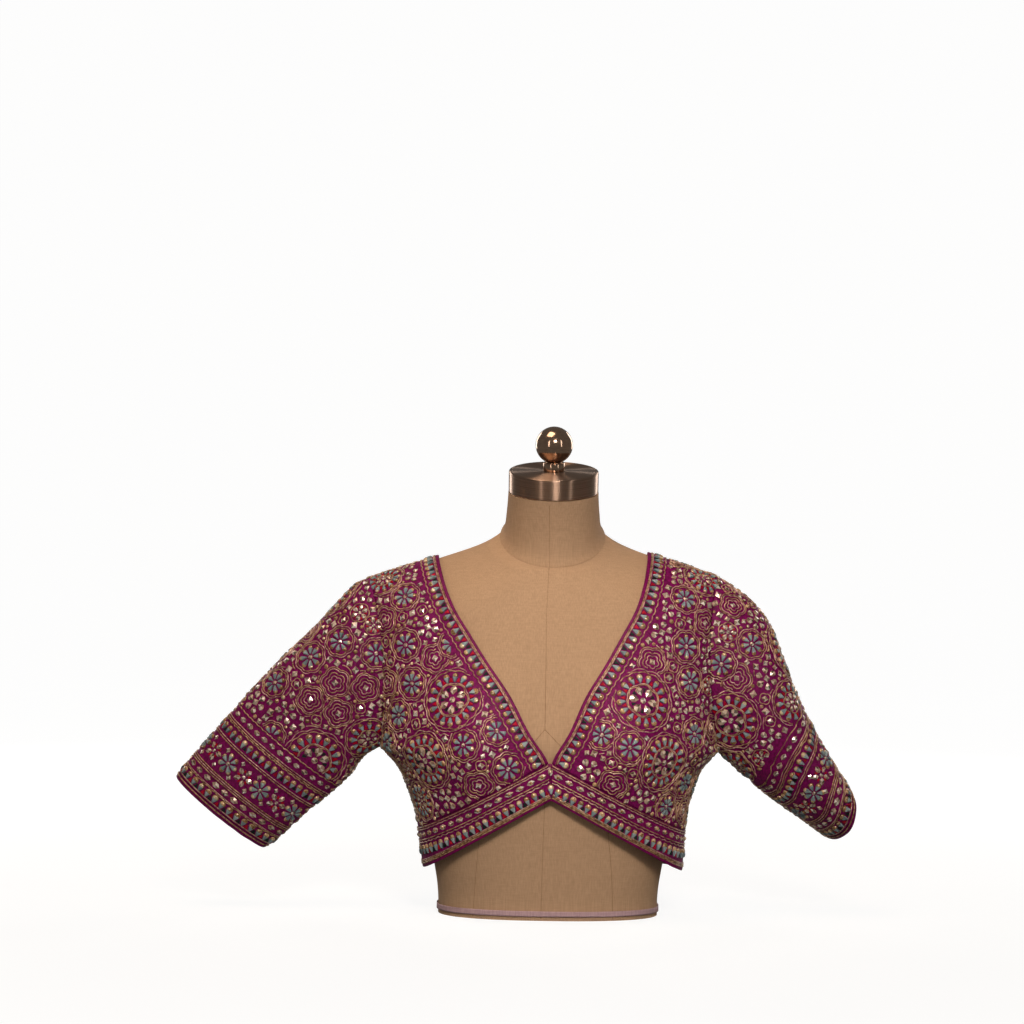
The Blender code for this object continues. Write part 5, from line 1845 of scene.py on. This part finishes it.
def seamRidge(point, normal):
    # A four-sided ridge along a line, half sunk in the surface, closed at both ends
    normal = unit(normal)
    beside = unit(np.cross(unit(np.gradient(point, axis=0)), normal)) * seamCord["width"] / 2
    foot, top = -seamCord["foot"] * normal, seamCord["height"] * normal
    corners = [point - beside + foot, point - 0.5 * beside + top, point + 0.5 * beside + top, point + beside + foot]
    return np.stack(corners, axis=1)


def torsoLine(facing, line):
    # Across as a smooth curve of the height, laid on the torso; the normal is square to both of its directions
    line = np.array(sorted(line, key=lambda place: place[1]), float)
    z = np.linspace(line[0, 1], line[-1, 1], 90)
    x = smoothCurve(line[:, ::-1], z)
    point = np.stack([x, facing * formDepth(x, z, facing), z], axis=-1)
    beyond = np.stack([x + 0.5, facing * formDepth(x + 0.5, z, facing), z], axis=-1)
    normal = np.cross(np.gradient(point, axis=0), beyond - point)
    return point, normal * np.sign(normal[:, 1:2]) * facing


def makeSeams():
    ridges = [seamRidge(*torsoLine(facing, line)) for facing, line in formSeams]
    # The neck's own centre front seam, up its grid of rings
    rings = neckRings()
    x = np.linspace(*seamCord["neckAcross"], len(rings) - 3)[:, None]
    half = rings[1:-2, : len(rings[0]) // 4]
    other = rings[1:-2, -(len(rings[0]) // 4) :]
    near = np.concatenate([other, half], axis=1)
    pick = np.argmin(np.abs(near[..., 0] - x), axis=1)
    point = near[np.arange(len(near)), pick] * [0, 1, 1] + x * [1, 0, 0]
    ridges.append(seamRidge(point, np.cross(np.gradient(point, axis=0), [-1.0, 0.0, 0.0])))
    points, quads, start = [], [], 0
    for ridge in ridges:
        k, c = np.arange(len(ridge) - 1)[:, None], np.arange(4)[None]
        d, n = (c + 1) % 4, k + 1
        quads.append(start + np.stack([4 * k + c, 4 * n + c, 4 * n + d, 4 * k + d], axis=-1).reshape(-1, 4))
        last = 4 * (len(ridge) - 1)
        quads.append(start + np.array([[0, 1, 2, 3], [last + 3, last + 2, last + 1, last]]))
        points.append(ridge.reshape(-1, 3))
        start += 4 * len(ridge)
    piece = makeMesh("torso_seams", np.concatenate(points), [np.concatenate(quads)], seamThread)
    return settle(mended(piece, 0.000001))


makeTorso()
makeNeck()
makeCap()
makeBall()
makeTape()
makeSeams()
print("form made")


# The studio: a bowl of background paper that reaches round the object, so that it is behind it in every view
studio = {
    "paper": ("#646462", "#6E6E6C"),
    "reach": 6500.0,
    "bend": 1500.0,
    "wallTop": 7000.0,
    "glow": {"near": 0.87, "far": 0.957, "within": 500.0, "beyond": 2600.0},
    "world": ("#F6EFE6", 0.16),
    # kind of light: place and size in mm, aim, power in watts, colour, beam in degrees
    "lights": (
        ("overhead", (-480, -500, 2000), (900, 900), (0, 0, 300), 12.5, "#FFE4C6", 180),
        ("keyLight", (200, -1900, 1250), (450, 450), (0, 0, 180), 0.85, "#FFF3E6", 26),
        ("leftSoftbox", (-1500, -2300, 900), (150, 1700), (0, 0, 250), 5.5, "#FFF1E6", 180),
        ("rightSoftbox", (1900, -1900, 950), (150, 1700), (0, 0, 250), 4.5, "#FFF8F0", 180),
        ("backLeftSoftbox", (-1400, 2100, 1000), (700, 1500), (0, 0, 250), 14, "#FFF8F0", 180),
        ("backRightSoftbox", (1400, 2100, 1000), (700, 1500), (0, 0, 250), 14, "#FFF8F0", 180),
    ),
}


def makeFloor():
    # A profile turned about the z axis: a flat disc, a quarter circle and an upright wall
    bend = np.linspace(0, np.pi / 2, 24)
    flat = studio["reach"] - studio["bend"]
    radius = np.concatenate([[0, 400, 1200, 2600], flat + studio["bend"] * np.sin(bend), [studio["reach"]]])
    height = np.concatenate([[0, 0, 0, 0], studio["bend"] * (1 - np.cos(bend)), [studio["wallTop"]]])
    turn = np.linspace(0, 2 * np.pi, 97)[:-1]
    points = np.stack(
        [radius[:, None] * np.sin(turn), radius[:, None] * np.cos(turn), height[:, None] + 0 * turn], axis=-1
    )
    # Background paper: matt and uncoated. It glows, a little less near the object, where its shadow falls.
    glow = studio["glow"]
    material, tree, shader = newMaterial("backgroundPaper", Roughness=0.95, Emission_Strength=1.0)
    place = addNode(tree, "ShaderNodeTexCoord").outputs["Object"]
    noise = addNode(tree, "ShaderNodeTexNoise", {"Vector": place, "Scale": 2.0}).outputs["Fac"]
    tree.links.new(
        blend(tree, noise, *(linear(colour) for colour in studio["paper"])), shader.inputs["Base Color"]
    )
    away = addNode(tree, "ShaderNodeVectorMath", {0: place}, operation="LENGTH").outputs["Value"]
    share = spread(tree, away, glow["within"] * mm, glow["beyond"] * mm)
    near, far = ((glow[end],) * 3 + (1,) for end in ("near", "far"))
    tree.links.new(blend(tree, share, near, far), shader.inputs["Emission Color"])
    floor = makeMesh("floor", points.reshape(-1, 3), [gridFaces(*points.shape[:2], True)], material)
    mended(floor)
    # The paper sends no light up under the sleeves and hem, and doesn't shade the object from the room
    floor.visible_diffuse = False
    floor.visible_glossy = False
    floor.visible_shadow = False


def makeLights():
    for name, place, size, aim, power, colour, beam in studio["lights"]:
        lamp = bpy.data.lights.new(name, "AREA")
        lamp.shape = "RECTANGLE"
        lamp.size, lamp.size_y = size[0] * mm, size[1] * mm
        lamp.energy = power
        lamp.spread = math.radians(beam)
        lamp.color = linear(colour)[:3]
        thing = bpy.data.objects.new(name, lamp)
        thing.location = Vector(place) * mm
        aimed = (Vector(aim) - Vector(place)).to_track_quat("-Z", "Y")
        thing.rotation_euler = aimed.to_euler()
        bpy.context.scene.collection.objects.link(thing)
    world = bpy.data.worlds.new("studio")
    world.use_nodes = True
    colour, strength = studio["world"]
    world.node_tree.nodes["Background"].inputs["Color"].default_value = linear(colour)
    world.node_tree.nodes["Background"].inputs["Strength"].default_value = strength
    bpy.context.scene.world = world


makeFloor()
makeLights()
print("floor and lights set")
